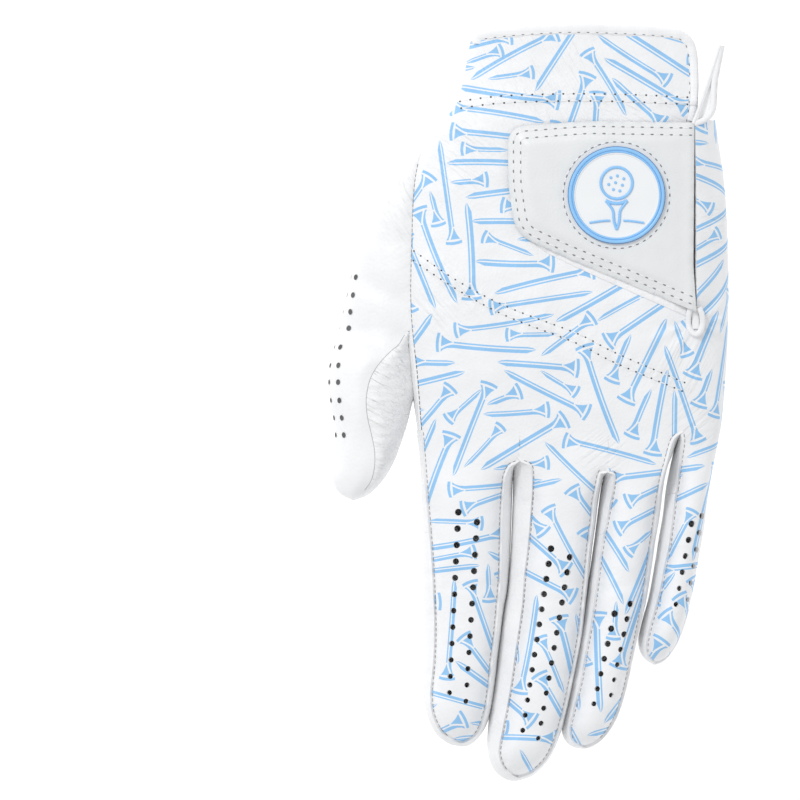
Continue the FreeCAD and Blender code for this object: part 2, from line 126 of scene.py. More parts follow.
BACK_SEAM = table([(-15.6, 106.0), (-17.2, 97.3), (-18.6, 89.7), (-20.6, 83.0), (-24.0, 79.0), (-28.0, 73.4),
                   (-29.8, 70.7), (-31.5, 65.9), (-32.6, 58.0), (-33.2, 42.1), (-33.4, 29.5), (-32.9, 20.0),
                   (-31.5, 6.9), (-30.1, -11.1), (-28.7, -23.1), (-27.9, -33.2), (-26.7, -46.1), (-25.9, -61.2),
                   (-26.0, -70.1), (-27.4, -79.9), (-28.2, -84.4)])
SIDE = table([(52.0, 106.0), (51.7, 84.0), (52.9, 73.5), (54.5, 62.3), (55.3, 51.7), (55.8, 34.6), (55.7, 23.4),
              (55.3, 12.2), (54.6, 3.2), (53.5, -8.0), (51.4, -18.0), (50.4, -26.0)])
LEFT_EDGE = table([(-16.0, 106.0), (-17.4, 97.3), (-18.9, 89.7), (-20.9, 83.0), (-24.4, 79.0), (-28.6, 73.4),
                   (-32.0, 66.0), (-34.8, 58.0), (-36.2, 42.1), (-36.4, 29.5), (-35.0, 20.0), (-33.3, 6.9),
                   (-31.3, -8.0), (-30.2, -18.0), (-29.7, -24.0)])


def waves(x, y):
    """The slight unevenness of soft leather."""
    a = np.sin(0.21 * x + 0.13 * y + 0.6) * np.sin(0.11 * y - 0.17 * x + 1.9)
    b = np.sin(0.47 * x - 0.38 * y + 2.2) * np.sin(0.29 * x + 0.52 * y)
    return 0.30 * a + 0.10 * b


CUFF_ROWS = [smooth_line([(-20.2, 83.9), (-8.0, 85.4), (12.0, 86.0), (30.0, 85.7), (45.6, 85.0)]),
             smooth_line([(-20.6, 81.9), (-8.0, 83.4), (12.0, 84.0), (30.0, 83.7), (45.6, 83.0)])]
KNUCKLE_ROWS = [smooth_line([(-32.4, 42.1), (-20.4, 33.8), (-6.2, 26.4), (13.4, 18.9), (23.9, 13.6), (43.3, 5.3)]),
                smooth_line([(-32.6, 39.4), (-20.2, 31.2), (-6.6, 23.9), (13.2, 16.2), (23.6, 10.9), (42.6, 2.9)])]


def near(line, x, y):
    """Distance to a line and the length along it of its nearest point."""
    flat = np.stack([np.ravel(x), np.ravel(y)], 1)
    seg = np.diff(line, axis=0)
    size = np.hypot(*seg.T)
    start = np.concatenate([[0], np.cumsum(size)])[:-1]
    best = np.full(len(flat), 1e9)
    along = np.zeros(len(flat))
    for a, d, l, s in zip(line[:-1], seg, size, start):
        t = np.clip(((flat - a) @ d) / (l * l), 0, 1)
        r = np.hypot(*(flat - a - t[:, None] * d).T)
        hit = r < best
        best[hit] = r[hit]
        along[hit] = s + t[hit] * l
    return best.reshape(np.shape(x)), along.reshape(np.shape(x))


def gathers(x, y):
    """Small puckers along the rows of stitches over the elastics and round the slit's end."""
    z = np.zeros(np.shape(x))
    for rows, pitch, depth, reach in ((CUFF_ROWS, 2.9, 0.20, 3.4), (KNUCKLE_ROWS, 3.3, 0.20, 3.6)):
        middle = (rows[0] + np.stack([np.interp(rows[0][:, 0], rows[1][:, 0], rows[1][:, k]) for k in (0, 1)], 1)) / 2
        d, s = near(middle, x, y)
        drift = 1.3 * np.sin(0.19 * s) + 0.7 * np.sin(0.43 * s + 1.0)
        z += depth * np.exp(-(d / reach) ** 2) * np.sin(2 * math.pi * (s / pitch) + drift)
        z += 0.5 * np.exp(-(d / 1.7) ** 2) - 0.35 * np.exp(-((d - 1.3) / 0.45) ** 2)
    dx, dy = x - SLIT_X, y - SLIT_Y
    r = np.hypot(dx, dy)
    turn = np.arctan2(dy, dx)
    z += 0.42 * np.exp(-((r - 6.0) / 5.5) ** 2) * np.sin(11 * turn + 1.2 * np.sin(2 * turn)) * (turn < 1.2)
    return z


def hand_top(x, y):
    left, right = LEFT_EDGE(y), SIDE(y)
    middle, half = (left + right) / 2, (right - left) / 2
    crown = HAND_Z - 4.0 * ease((24.0 - y) / 44.0) - 0.7 * ease((y - 84.0) / 20.0)
    t = np.clip(np.abs(x - middle) / half, 0, 0.9999)
    return SIDE_Z + (crown - SIDE_Z) * (1 - t ** 2.8) ** (1 / 2.8)


# ---- the fingers ----
# rise: y where the leather's height eases from the hand's into the finger's; top: height of the finger's back
# reach: x of the finger's corners at the hand's edge
# left, right: (x, y) of the printed leather's edges; outer_left, outer_right: of the finger's widest lines
# tip: where all four meet; axis: direction of the finger, towards its tip; knuckle, joint: centres of its joints
# split: y where its leather is divided between base and tip; holes: rows of perforations (first, last, count)
FINGERS = {
    "index": {
        "rise": -13.0, "top": 16.0, "reach": (-31.0, -2.8),
        "left": [(-29.9, HAND_EDGE_Y), (-28.7, -23.1), (-27.9, -33.2), (-26.9, -46.1), (-26.3, -61.2), (-26.5, -72.0),
                 (-27.3, -82.0), (-26.6, -88.0), (-24.2, -92.6), (-20.6, -94.9)],
        "right": [(-2.8, HAND_EDGE_Y), (-2.8, -15.4), (-5.7, -17.5), (-7.0, -19.8), (-7.7, -23.1), (-8.3, -33.2),
                  (-8.6, -47.7), (-9.2, -55.6), (-9.9, -63.7), (-10.8, -70.5), (-11.9, -81.3), (-13.0, -87.5),
                  (-15.0, -92.6), (-18.0, -94.9)],
        "outer_left": [(-31.4, HAND_EDGE_Y), (-30.3, -18.0), (-29.8, -31.0), (-29.6, -56.0), (-29.7, -78.0),
                       (-28.9, -86.0), (-26.4, -92.3), (-22.6, -95.6)],
        "outer_right": [(-2.8, -15.4), (-4.7, -18.6), (-5.0, -23.7), (-5.5, -39.6), (-6.4, -52.5), (-7.7, -58.9),
                        (-8.7, -66.8), (-10.0, -78.0), (-11.2, -86.0), (-13.0, -91.6), (-16.6, -95.8)],
        "tip": (-19.6, -96.3), "axis": (-4.6, -76.0), "knuckle": (-17.2, KNUCKLE_Y), "joint": (-18.0, -52.0),
              "split": -36.0,
        "holes": [((-20.0, -31.0), (-22.5, -81.5), 12), ((-14.7, -33.8), (-17.8, -83.9), 12)],
    },
    "middle": {
        "rise": -15.0, "top": 16.6, "reach": (-2.8, 21.9),
        "left": [(-2.8, HAND_EDGE_Y), (-2.8, -15.4), (0.3, -17.4), (1.0, -20.3), (0.9, -26.7), (0.1, -38.2),
                 (-1.0, -47.7), (-1.8, -57.3), (-2.9, -65.1), (-4.0, -73.0), (-5.5, -83.0), (-7.3, -92.5),
                 (-8.2, -98.5), (-6.8, -102.6), (-4.6, -104.4)],
        "right": [(21.9, HAND_EDGE_Y), (21.9, -18.5), (19.4, -19.6), (18.6, -22.6), (17.5, -27.6), (16.9, -34.0),
                  (16.0, -41.0), (14.6, -55.3), (13.3, -66.8), (11.3, -76.9), (9.4, -85.8), (7.2, -93.6),
                  (4.4, -99.6), (0.8, -103.3), (-2.0, -104.6)],
        "outer_left": [(-2.8, -15.4), (-4.4, -18.8), (-4.4, -23.7), (-4.9, -39.6), (-5.8, -52.5), (-7.0, -58.9),
                       (-8.1, -66.8), (-9.4, -78.0), (-11.0, -88.0), (-11.5, -96.8), (-9.9, -102.6), (-6.6, -105.5)],
        "outer_right": [(21.9, -18.5), (19.8, -22.4), (18.8, -27.6), (18.0, -34.0), (17.0, -41.0), (15.3, -55.3),
                        (13.9, -66.8), (11.9, -76.9), (10.0, -85.8), (7.9, -93.4), (5.2, -99.4), (1.0, -104.2)],
        "tip": (-3.4, -105.8), "axis": (-11.0, -86.0), "knuckle": (7.6, KNUCKLE_Y), "joint": (3.2, -56.0),
               "split": -38.0,
        "holes": [((5.9, -41.2), (-2.0, -92.0), 13), ((11.3, -43.6), (2.5, -94.3), 13)],
    },
    "ring": {
        "rise": -16.0, "top": 15.6, "reach": (21.9, 42.6),
        "left": [(21.9, HAND_EDGE_Y), (21.9, -18.5), (23.8, -19.9), (23.9, -23.4), (22.3, -32.2), (20.6, -41.0),
                 (19.2, -51.9), (17.9, -60.9), (16.4, -69.0), (14.6, -79.0), (12.6, -87.0), (11.6, -92.0),
                 (12.6, -95.2), (14.4, -96.2)],
        "right": [(42.6, HAND_EDGE_Y), (40.4, -9.4), (39.2, -11.4), (37.9, -16.1), (36.5, -21.4), (35.4, -27.6),
                  (34.3, -35.7), (33.2, -43.0), (32.3, -49.4), (31.2, -57.3), (29.6, -65.4), (28.0, -73.0),
                  (26.2, -81.0), (23.6, -88.6), (20.2, -93.8), (17.0, -96.0)],
        "outer_left": [(21.9, -18.5), (20.2, -22.2), (19.4, -25.6), (17.6, -41.0), (16.6, -48.0), (15.4, -55.6),
                       (14.1, -62.7), (12.5, -69.9), (11.1, -77.0), (9.5, -85.9), (8.7, -91.6), (9.8, -95.2),
                       (12.4, -96.9)],
        "outer_right": [(42.6, HAND_EDGE_Y), (40.4, -14.0), (38.3, -18.9), (37.2, -25.1), (36.4, -32.2),
                        (35.1, -39.3), (34.1, -46.5), (32.6, -55.4), (30.6, -63.0), (28.9, -70.0), (27.2, -78.0),
                        (25.2, -85.8), (22.6, -91.6), (18.6, -95.9)],
        "tip": (15.4, -97.1), "axis": (-13.2, -77.0), "knuckle": (29.0, KNUCKLE_Y), "joint": (24.4, -52.0),
             "split": -36.0,
        "holes": [((23.7, -59.4), (17.9, -84.6), 7), ((28.3, -56.7), (22.9, -82.2), 7)],
    },
    "little": {
        "rise": -9.0, "top": 14.4, "reach": (42.6, 62.0),
        "left": [(42.6, HAND_EDGE_Y), (43.3, -10.8), (42.7, -16.1), (41.9, -22.5), (41.0, -28.7), (40.2, -35.1),
                 (39.4, -41.0), (38.2, -46.6), (37.1, -52.5), (35.7, -57.8), (34.2, -63.0), (33.2, -67.6),
                 (33.2, -70.6), (34.4, -72.2)],
        "right": [(53.5, HAND_EDGE_Y), (50.9, -21.4), (49.7, -28.7), (49.0, -35.1), (47.6, -43.0), (46.5, -49.4),
                  (45.2, -55.9), (43.3, -62.6), (41.2, -67.8), (38.6, -71.4), (36.6, -72.7)],
        "outer_left": [(42.6, HAND_EDGE_Y), (40.6, -13.0), (39.0, -18.9), (37.8, -25.1), (37.0, -32.2), (35.7, -39.3),
                       (34.6, -46.5), (33.0, -55.4), (31.0, -62.6), (30.2, -67.6), (31.4, -71.2), (33.8, -73.0)],
        "outer_right": [(53.5, HAND_EDGE_Y), (50.9, -21.4), (49.7, -28.7), (49.0, -35.1), (47.6, -43.0),
                        (46.5, -49.4), (45.2, -55.9), (43.3, -62.6), (41.3, -67.6), (38.8, -71.6), (37.0, -73.0)],
        "tip": (35.4, -73.3), "axis": (-11.0, -62.0), "knuckle": (46.6, -11.6), "joint": (42.2, -38.0),
               "split": -25.0,
        "holes": [((45.4, -34.3), (41.0, -56.8), 6), ((48.4, -32.1), (44.5, -55.5), 6)],
    },
}


def finger_top(f, x, y):
    left, right = f["left_x"](y), f["right_x"](y)
    middle, half = (left + right) / 2, np.maximum((right - left) / 2, 0.4)
    t = np.clip((x - middle) / half, -1, 1)
    edge, crown = f["top"] - 5.0, f["top"]
    z = edge + (crown - edge) * (1 - np.abs(t) ** 2.3) ** 0.6
    if f["name"] == "little":
        round_side = SIDE_Z - 1.5 + (crown - SIDE_Z + 1.5) * (1 - np.abs(t) ** 2.6) ** (1 / 2.4)
        z = np.where(t > 0, round_side, z)
    end = f["left"][-1][1]
    q = np.sqrt(1 - (1 - np.clip((y - end) / 11.0, 0, 1)) ** 2.2)
    return 6.4 + (z - 6.4) * q


def finger_creases(f, x, y):
    """Shallow puckers along the finger's seams and soft creases over its middle joint."""
    left, right = f["left_x"](y), f["right_x"](y)
    z = 0
    for k, (edge, side) in enumerate(((left, 1), (right, -1))):
        d = (x - edge) * side
        beat = np.sin(2 * math.pi * y / 3.4 + 1.7 * np.sin(0.31 * y + k)) + 0.6 * np.sin(2 * math.pi * y / 5.3 + k)
        z = z + 0.13 * np.exp(-(d / 2.6) ** 2) * beat
    jx, jy = f["joint"]
    for offset, depth in ((-4.0, 0.16), (0.0, 0.26), (3.6, 0.15)):
        line = jy + offset + 0.12 * (x - jx) + 0.5 * np.sin(0.5 * x + offset)
        z = z - depth * np.exp(-((y - line) / 1.3) ** 2)
    return z


def glove_top(f, x, y):
    """Height of the printed leather: the hand's, easing into a finger's below the knuckles."""
    z = hand_top(x, y)
    if f:
        s = ease((f["rise"] - y) / 15.0)
        z = (1 - s) * z + s * (finger_top(f, x, y) + finger_creases(f, x, y))
    return z + waves(x, y) * 0.8


for name, f in FINGERS.items():
    f["name"] = name
    tip_x, tip_y = f["tip"]
    for side in ("left", "right"):
        f[side].append((tip_x, min(f["left"][-1][1], f["right"][-1][1]) - 0.35 if side == "left"
                        else f["left"][-1][1]))
        f["outer_" + side].append((tip_x, tip_y))
    f["direction"] = np.array(f["axis"]) / np.linalg.norm(f["axis"])
    f["left_line"] = smooth_line(f["left"], 0.9)
    f["right_line"] = smooth_line(f["right"], 0.9)
    f["left_x"], f["right_x"] = table(f["left"]), table(f["right"])


def print_map(f, uv):
    """The flat print's place on the glove. It is laid out in plan, except where it turns over the outer side."""
    u, v = uv[:, 0], uv[:, 1]
    x, drop = u.copy(), np.zeros(len(u))
    if f is None or f["name"] == "little":
        edge = SIDE(v) if f is None else f["right_x"](v)
        wrap = WRAP if f is None else np.minimum(WRAP, np.maximum((edge - f["left_x"](v)) * 0.45, 0.5))
        run = wrap * WRAP_STRETCH
        s = u - (edge - wrap)
        over = s > 0
        x = np.where(over, edge - wrap + wrap * np.sin(np.clip(s / run, 0, 1) * math.pi / 2), u)
        drop = np.clip((s - run) / UNDERLAP, 0, 1)
    z = glove_top(f, x, v)
    if f is None:
        z = z + gathers(x, v)
    x = x - 2.4 * drop ** 2.2
    z = z * (1 - drop) + 0.7 * drop
    return np.stack([x, v, z], 1)


# ---- meshes ----
def inside(points, polygon):
    x, y = points[:, 0], points[:, 1]
    hit = np.zeros(len(points), bool)
    px, py = polygon[:, 0], polygon[:, 1]
    for x0, y0, x1, y1 in zip(px, py, np.roll(px, -1), np.roll(py, -1)):
        if y0 != y1:
            hit ^= ((y0 > y) != (y1 > y)) & (x < (x1 - x0) * (y - y0) / (y1 - y0) + x0)
    return hit


def divided(polygon, step=GRID):
    p = np.asarray(polygon, float)
    out = []
    for a, b in zip(p, np.roll(p, -1, 0)):
        count = max(1, int(math.ceil(np.linalg.norm(b - a) / step)))
        out.extend(a + (b - a) * k / count for k in range(count))
    return np.array(out)


def cut_at(polygon, y, keep):
    """The part of a polygon above (keep 1) or below (keep -1) a line of constant y."""
    out = []
    for a, b in zip(polygon, np.roll(polygon, -1, 0)):
        da, db = (a[1] - y) * keep, (b[1] - y) * keep
        if da >= 0:
            out.append(a)
        if (da > 0 > db) or (da < 0 < db):
            out.append(a + (b - a) * da / (da - db))
    return np.array(out)


def anticlockwise(polygon):
    x, y = polygon[:, 0], polygon[:, 1]
    return polygon if (x * np.roll(y, -1) - np.roll(x, -1) * y).sum() > 0 else polygon[::-1]


def nearest(places, points):
    """Distance in plan from each point to the nearest of these places."""
    tree = kdtree.KDTree(len(places))
    for i, p in enumerate(places):
        tree.insert((p[0], p[1], 0), i)
    tree.balance()
    return np.array([tree.find((p[0], p[1], 0))[2] for p in points])


def flat_mesh(outline, prints=(), holes=(), grid=GRID):
    """Triangles of a flat panel: (points, triangles, 1 where printed)."""
    outline = divided(outline)
    polygons = [anticlockwise(outline)]
    low, high = outline.min(0) - 1, outline.max(0) + 1
    marked = []
    for group, items in (("print", prints), ("hole", holes)):
        for item in items:
            item = divided(item)
            if (item.max(0) > low).all() and (item.min(0) < high).all() and inside(item, outline).any():
                polygons.append(anticlockwise(item))
                marked.append(group)
    fixed = np.concatenate(polygons)
    xs, ys = np.arange(low[0], high[0], grid), np.arange(low[1], high[1], grid * 0.87)
    gx, gy = np.meshgrid(xs, ys)
    gx = gx + (np.arange(len(ys)) % 2)[:, None] * grid / 2
    inner = np.stack([gx.ravel(), gy.ravel()], 1)
    inner = inner[inside(inner, outline)]
    inner = inner[nearest(fixed, inner) > grid * 0.5]
    verts = [Vector(p) for p in fixed] + [Vector(p) for p in inner]
    faces, start = [], 0
    for p in polygons:
        faces.append(list(range(start, start + len(p))))
        start += len(p)
    v, _, tris, _, _, ids = geometry.delaunay_2d_cdt(verts, [], faces, 0, 1e-5, True)
    points = np.array([tuple(p) for p in v])
    keep, printed = [], []
    for tri, own in zip(tris, ids):
        if 0 not in own or any(marked[i - 1] == "hole" for i in own if i):
            continue
        keep.append(tri)
        printed.append(int(any(i for i in own)))
    used = sorted({i for t in keep for i in t})
    renumber = {old: new for new, old in enumerate(used)}
    return points[used], np.array([[renumber[i] for i in t] for t in keep]), np.array(printed)


def make_object(name, points, faces, materials, indices=None, sharp=50.0):
    mesh = bpy.data.meshes.new(name)
    mesh.from_pydata([tuple(p) for p in placed(points)], [], [tuple(int(i) for i in f) for f in faces])
    for m in materials:
        mesh.materials.append(m)
    if indices is not None:
        mesh.polygons.foreach_set("material_index", np.asarray(indices, np.int32))
    mesh.polygons.foreach_set("use_smooth", [True] * len(faces))
    mesh.update()
    if sharp:
        mesh.set_sharp_from_angle(angle=math.radians(sharp))
    obj = bpy.data.objects.new(name, mesh)
    bpy.context.scene.collection.objects.link(obj)
    return obj


def vertex_normals(points, faces):
    n = np.zeros_like(points)
    for k in range(1, len(faces[0]) - 1):
        a, b, c = points[faces[:, 0]], points[faces[:, k]], points[faces[:, k + 1]]
        m = np.cross(b - a, c - a)
        for i in (0, k, k + 1):
            np.add.at(n, faces[:, i], m)
    return n / np.maximum(np.linalg.norm(n, axis=1), 1e-9)[:, None]


def thick(points, faces, thickness, indices=None):
    """A closed sheet: the outer face, an inner face under it and the rim between them."""
    faces = np.asarray(faces)
    normals = vertex_normals(points, faces)
    count = len(points)
    inner = points - normals * thickness
    sides = dict.fromkeys((a, b) for f in faces for a, b in zip(f, np.roll(f, -1)))
    rim = [(b, a, a + count, b + count) for a, b in sides if (b, a) not in sides]
    all_faces = [tuple(f) for f in faces] + [tuple(f[::-1] + count) for f in faces] + rim
    if indices is None:
        indices = np.zeros(len(faces), int)
    marks = list(indices) + [0] * (len(faces) + len(rim))
    return np.concatenate([points, inner]), all_faces, marks


def grid_faces(rows, columns, closed=False, flip=False):
    faces = []
    for i in range(rows - 1):
        for j in range(columns if closed else columns - 1):
            k = (j + 1) % columns
            quad = (i * columns + j, i * columns + k, (i + 1) * columns + k, (i + 1) * columns + j)
            faces.append(quad[::-1] if flip else quad)
    return np.array(faces)


def sheet_from_rows(name, rows, material, flip=False):
    """A leather strip through rows of points, made thick on its inner side."""
    rows = np.array(rows)
    points, faces, _ = thick(rows.reshape(-1, 3), grid_faces(len(rows), len(rows[0]), flip=flip), SHEET)
    return make_object(name, points, faces, [material])


def swept(name, path, profile, material, closed=False):
    """A closed profile of (sideways, upwards) points carried along a path."""
    path = np.array(path)
    n = len(path)
    if closed:
        tangent = np.roll(path, -1, 0) - np.roll(path, 1, 0)
    else:
        tangent = np.gradient(path, axis=0)
    tangent /= np.linalg.norm(tangent, axis=1)[:, None]
    side = np.cross(tangent, UP)
    side /= np.linalg.norm(side, axis=1)[:, None]
    high = np.cross(side, tangent)
    points = [p + s * a + h * b for p, s, h in zip(path, side, high) for a, b in profile]
    m = len(profile)
    faces = [tuple(f) for f in grid_faces(n, m, closed=True)]
    if closed:
        faces += [((n - 1) * m + j, (n - 1) * m + (j + 1) % m, (j + 1) % m, j) for j in range(m)]
    else:
        faces += [tuple(range(m))[::-1], tuple(range((n - 1) * m, n * m))]
    return make_object(name, np.array(points), faces, [material])


def oval(width, height, count=14, power=2.6):
    out = []
    for k in range(count):
        a = 2 * math.pi * k / count
        c, s = math.cos(a), math.sin(a)
        out.append((width / 2 * math.copysign(abs(c) ** (2 / power), c),
                    height / 2 * math.copysign(abs(s) ** (2 / power), s)))
    return out


# ---- how pieces are held ----
def fixed_to(body, obj, *nodes):
    """Fixes a piece to a body, in the place of the CAD nodes it stands for."""
    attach(obj, body)
    if nodes:
        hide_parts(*nodes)


def bending(obj, first, second, centre, axis, before, after, *nodes):
    """Hides the CAD nodes a piece stands for and bakes its place into its mesh. It doesn't bend the piece or fix it to
    the two bodies, which are not used; the ends of a zone reaching before and after the joint's centre are worked out
    but not used.
    """
    if nodes:
        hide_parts(*nodes)
    start, end = np.array(centre) - axis * before, np.array(centre) + axis * after
    spot(*start, BEND_HEIGHT)
    spot(*end, BEND_HEIGHT)
    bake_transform(obj)


# ---- materials ----
# patches of fine wrinkles: centre, reach, direction in degrees, spacing
WRINKLES = [((6, 92), 36, -62, 1.0), ((-16, 70), 19, -38, 1.5), ((42, 11), 15, 62, 1.3), ((30, 78), 20, -28, 1.1),
            ((47, -6), 12, 40, 1.3), ((-22, 30), 16, -50, 1.6), ((52, 50), 12, 10, 1.6), ((20, -14), 10, 38, 1.4)]
GATHER_WRINKLES = [((-40, 2), 30, -27, 1.25), ((-42, -8), 24, -33, 0.9), ((-39, 14), 22, -36, 1.7),
                   ((-46, -22), 18, -22, 1.1)]
PALM_WRINKLES = [((-34, 58), 22, -55, 1.8), ((0, 44), 46, 28, 3.0), ((26, 6), 34, 64, 2.6), ((-12, -2), 30, -4, 2.2)]


def material(name, colour, roughness=0.6, grain=0.0, grain_size=0.6, fine=0.0, mottle=0.03, weave=0.0, sheen=0.0,
             coat=0.0,
             wrinkles=()):
    """A surface with a little colour variation, leather grain (cells), fine pores, wrinkled patches and a woven rib."""
    m = bpy.data.materials.new(name)
    m.use_nodes = True
    nt = m.node_tree
    shader = nt.nodes["Principled BSDF"]
    shader.inputs["Sheen Weight"].default_value = sheen
    shader.inputs["Coat Weight"].default_value = coat
    shader.inputs["Coat Roughness"].default_value = 0.25
    where = nt.nodes.new("ShaderNodeTexCoord").outputs["Object"]
    normal = None

    def node(kind, source=None, socket="Vector", **values):
        """A new node with its inputs set and source joined to one of its sockets."""
        n = nt.nodes.new("ShaderNode" + kind)
        for key, value in values.items():
            n.inputs[key.replace("_", " ")].default_value = value
        if source:
            nt.links.new(source, n.inputs[socket])
        return n

    def noise(scale, detail=3.0, source=where):
        return node("TexNoise", source, Scale=scale, Detail=detail).outputs["Fac"]

    def ramp(value, low, high):
        return node("MapRange", value, "Value", From_Min=0.3, From_Max=0.7, To_Min=low, To_Max=high).outputs["Result"]

    def bump(height, strength, distance):
        nonlocal normal
        b = node("Bump", height, "Height", Strength=strength, Distance=distance)
        if normal:
            nt.links.new(normal, b.inputs["Normal"])
        normal = b.outputs["Normal"]

    mix = nt.nodes.new("ShaderNodeMix")
    mix.data_type = "RGBA"
    mix.inputs["A"].default_value = (*[c * (1 - mottle) for c in colour], 1)
    mix.inputs["B"].default_value = (*[min(1.0, c * (1 + mottle * 0.6)) for c in colour], 1)
    nt.links.new(ramp(noise(140.0), 0.0, 1.0), mix.inputs["Factor"])
    nt.links.new(mix.outputs["Result"], shader.inputs["Base Color"])
    nt.links.new(ramp(noise(900.0), roughness - 0.06, roughness + 0.06), shader.inputs["Roughness"])
    for centre, reach, turn, spacing in wrinkles:
        middle = spot(*centre, 14)
        lay = node("Mapping", where, Location=middle, Rotation=(0, 0, math.radians(turn)),
                   Scale=(spacing * 0.011, spacing * 0.001, spacing * 0.002))
        lay.vector_type = "TEXTURE"
        lines = noise(1.0, 2.5, lay.outputs["Vector"])
        away = node("VectorMath")
        away.operation = "DISTANCE"
        away.inputs[1].default_value = middle
        nt.links.new(where, away.inputs[0])
        fade = node("MapRange", away.outputs["Value"], "Value", From_Min=reach * 0.0002, From_Max=reach * 0.001,
                    To_Min=1.0, To_Max=0.0)
        fade.interpolation_type = "SMOOTHSTEP"
        patch = node("Math")
        patch.operation = "MULTIPLY"
        nt.links.new(lines, patch.inputs[0])
        nt.links.new(fade.outputs["Result"], patch.inputs[1])
        bump(patch.outputs[0], 0.8, spacing * 0.0007)
    if grain:
        cells = node("TexVoronoi", where, Scale=1000.0 / grain_size)
        cells.feature = "SMOOTH_F1"
        bump(cells.outputs["Distance"], grain, 0.00018)
        bump(noise(1000.0 / (grain_size * 5.0), 4.0), grain * 0.6, 0.0004)
    if fine:
        bump(noise(5200.0, 2.0), fine, 0.00005)
    if weave:
        for direction in ("X", "Y"):
            w = node("TexWave", where, Scale=320.0, Distortion=0.6)
            w.bands_direction = direction
            bump(w.outputs["Fac"], weave, 0.00012)
    if normal:
        nt.links.new(normal, shader.inputs["Normal"])
    return m


WHITE = (0.86, 0.865, 0.875)
PRINTED_WHITE = material("printed_leather_white", (0.85, 0.86, 0.88), 0.55, grain=0.5, grain_size=0.7, fine=0.3,
                         wrinkles=WRINKLES)
PRINTED_BLUE = material("printed_leather_blue", TEE_BLUE, 0.5, grain=0.5, grain_size=0.7, fine=0.3, mottle=0.05,
                        wrinkles=WRINKLES)
PALM = material("white_sheepskin", WHITE, 0.5, grain=0.5, grain_size=0.8, fine=0.3, wrinkles=PALM_WRINKLES)
SIDES = material("fourchette_sheepskin", (0.87, 0.875, 0.885), 0.55, grain=0.5, grain_size=0.6, fine=0.3)
GATHERED = material("gathered_sheepskin", (0.87, 0.875, 0.885), 0.55, grain=0.5, grain_size=0.6, fine=0.3,
                    wrinkles=GATHER_WRINKLES)
SYNTHETIC = material("tab_synthetic", (0.775, 0.79, 0.80), 0.42, grain=0.3, grain_size=0.5, fine=0.3, mottle=0.02)
TAPE = material("binding_tape", (0.87, 0.875, 0.89), 0.75, fine=0.6, weave=0.25, sheen=0.2)
CLOTH = material("lining_cloth", (0.82, 0.82, 0.82), 0.8, weave=0.6, sheen=0.2)
ELASTIC = material("elastic", (0.80, 0.80, 0.81), 0.8, weave=0.8)
HOOKS = material("hook_tape", (0.80, 0.80, 0.80), 0.5, grain=1.0, grain_size=1.3)
LOOPS = material("loop_fabric", (0.90, 0.90, 0.92), 0.9, grain=1.0, grain_size=0.9, fine=1.0, sheen=0.5)
THREAD = material("thread", (0.84, 0.85, 0.86), 0.6, fine=0.5)
# painted shade: near-black marks standing for the shade in needle holes, and along the index finger's edge seam
DEEP_SHADE = material("needle_and_seam_painted_shade", (0.07, 0.075, 0.085), 0.8)
# painted shade: grey dashes standing for the shade in the needle pits of the tab, the badge's stitching and the binding
SOFT_SHADE = material("needle_dash_painted_shade", (0.22, 0.23, 0.25), 0.8)
# painted shade: pale grey standing for the soft crease along the thumb's seam
PALE_SHADE = material("thumb_seam_thread", (0.5, 0.51, 0.53), 0.8)
# painted shade: dark grey dashes standing for the shadow in the seams along the printed leather's edges and on the palm
SEAM_SHADE = material("seam_painted_shade", (0.26, 0.26, 0.27), 0.8)
# painted shade: dark discs standing for the shade inside the thumb's perforations, which are not cut
PERFORATION_SHADE = material("perforation_painted_shade", (0.10, 0.10, 0.105), 0.7, mottle=0.3)
BADGE_WHITE = material("badge_white", (0.85, 0.87, 0.885), 0.38, fine=0.3, mottle=0.015, coat=0.2)
BADGE_BLUE = material("badge_blue", (0.27, 0.57, 0.93), 0.35, fine=0.3, mottle=0.05, coat=0.3)
# painted shade: dark blue standing for the shadow round the badge's edge
BADGE_SHADE_RIM = material("badge_shade_rim_blue", (0.06, 0.20, 0.45), 0.4, fine=0.3, mottle=0.05)


# ---- the printed golf tees ----
def tee_shapes(length):
    """The parts of one printed tee along +x, point first: a wide and a narrow stripe, a flare and the cup's bar."""
    flare, cup = length - 5.0, length - 1.5
    wide = [(0.0, -0.1), (2.6, -0.95), (flare, -0.95), (flare + 1.6, -1.15), (flare + 2.7, -1.6), (cup, -2.3),
            (cup, -1.6), (flare + 2.0, -0.7), (flare + 0.8, -0.2), (flare, -0.05), (2.6, -0.05), (1.2, -0.1)]
    narrow = [(0.0, 0.0), (1.2, 0.2), (2.6, 0.3), (flare, 0.3), (flare, 0.72), (2.6, 0.72), (1.0, 0.5)]
    corner = [(flare + 0.2, 0.5), (flare + 1.2, 0.2), (flare + 2.2, -0.25), (cup, -0.95), (cup, 2.05),
              (flare + 2.4, 1.3), (flare + 1.2, 0.8)]
    bar = [(cup + 0.4, -2.5), (cup + 0.62, -1.2), (cup + 0.7, 0.0), (cup + 0.62, 1.2), (cup + 0.4, 2.5),
           (cup + 1.2, 2.55), (cup + 1.45, 1.2), (cup + 1.52, 0.0), (cup + 1.45, -1.2), (cup + 1.2, -2.55)]
    return [wide, narrow, corner, bar]


def half_width(t, length, broad):
    """Half the width of a tee at a distance from its point."""
    return broad * (0.75 + (1.9 if t > length - 2.2 else 0.9 if t > length - 4.0 else 0.0))


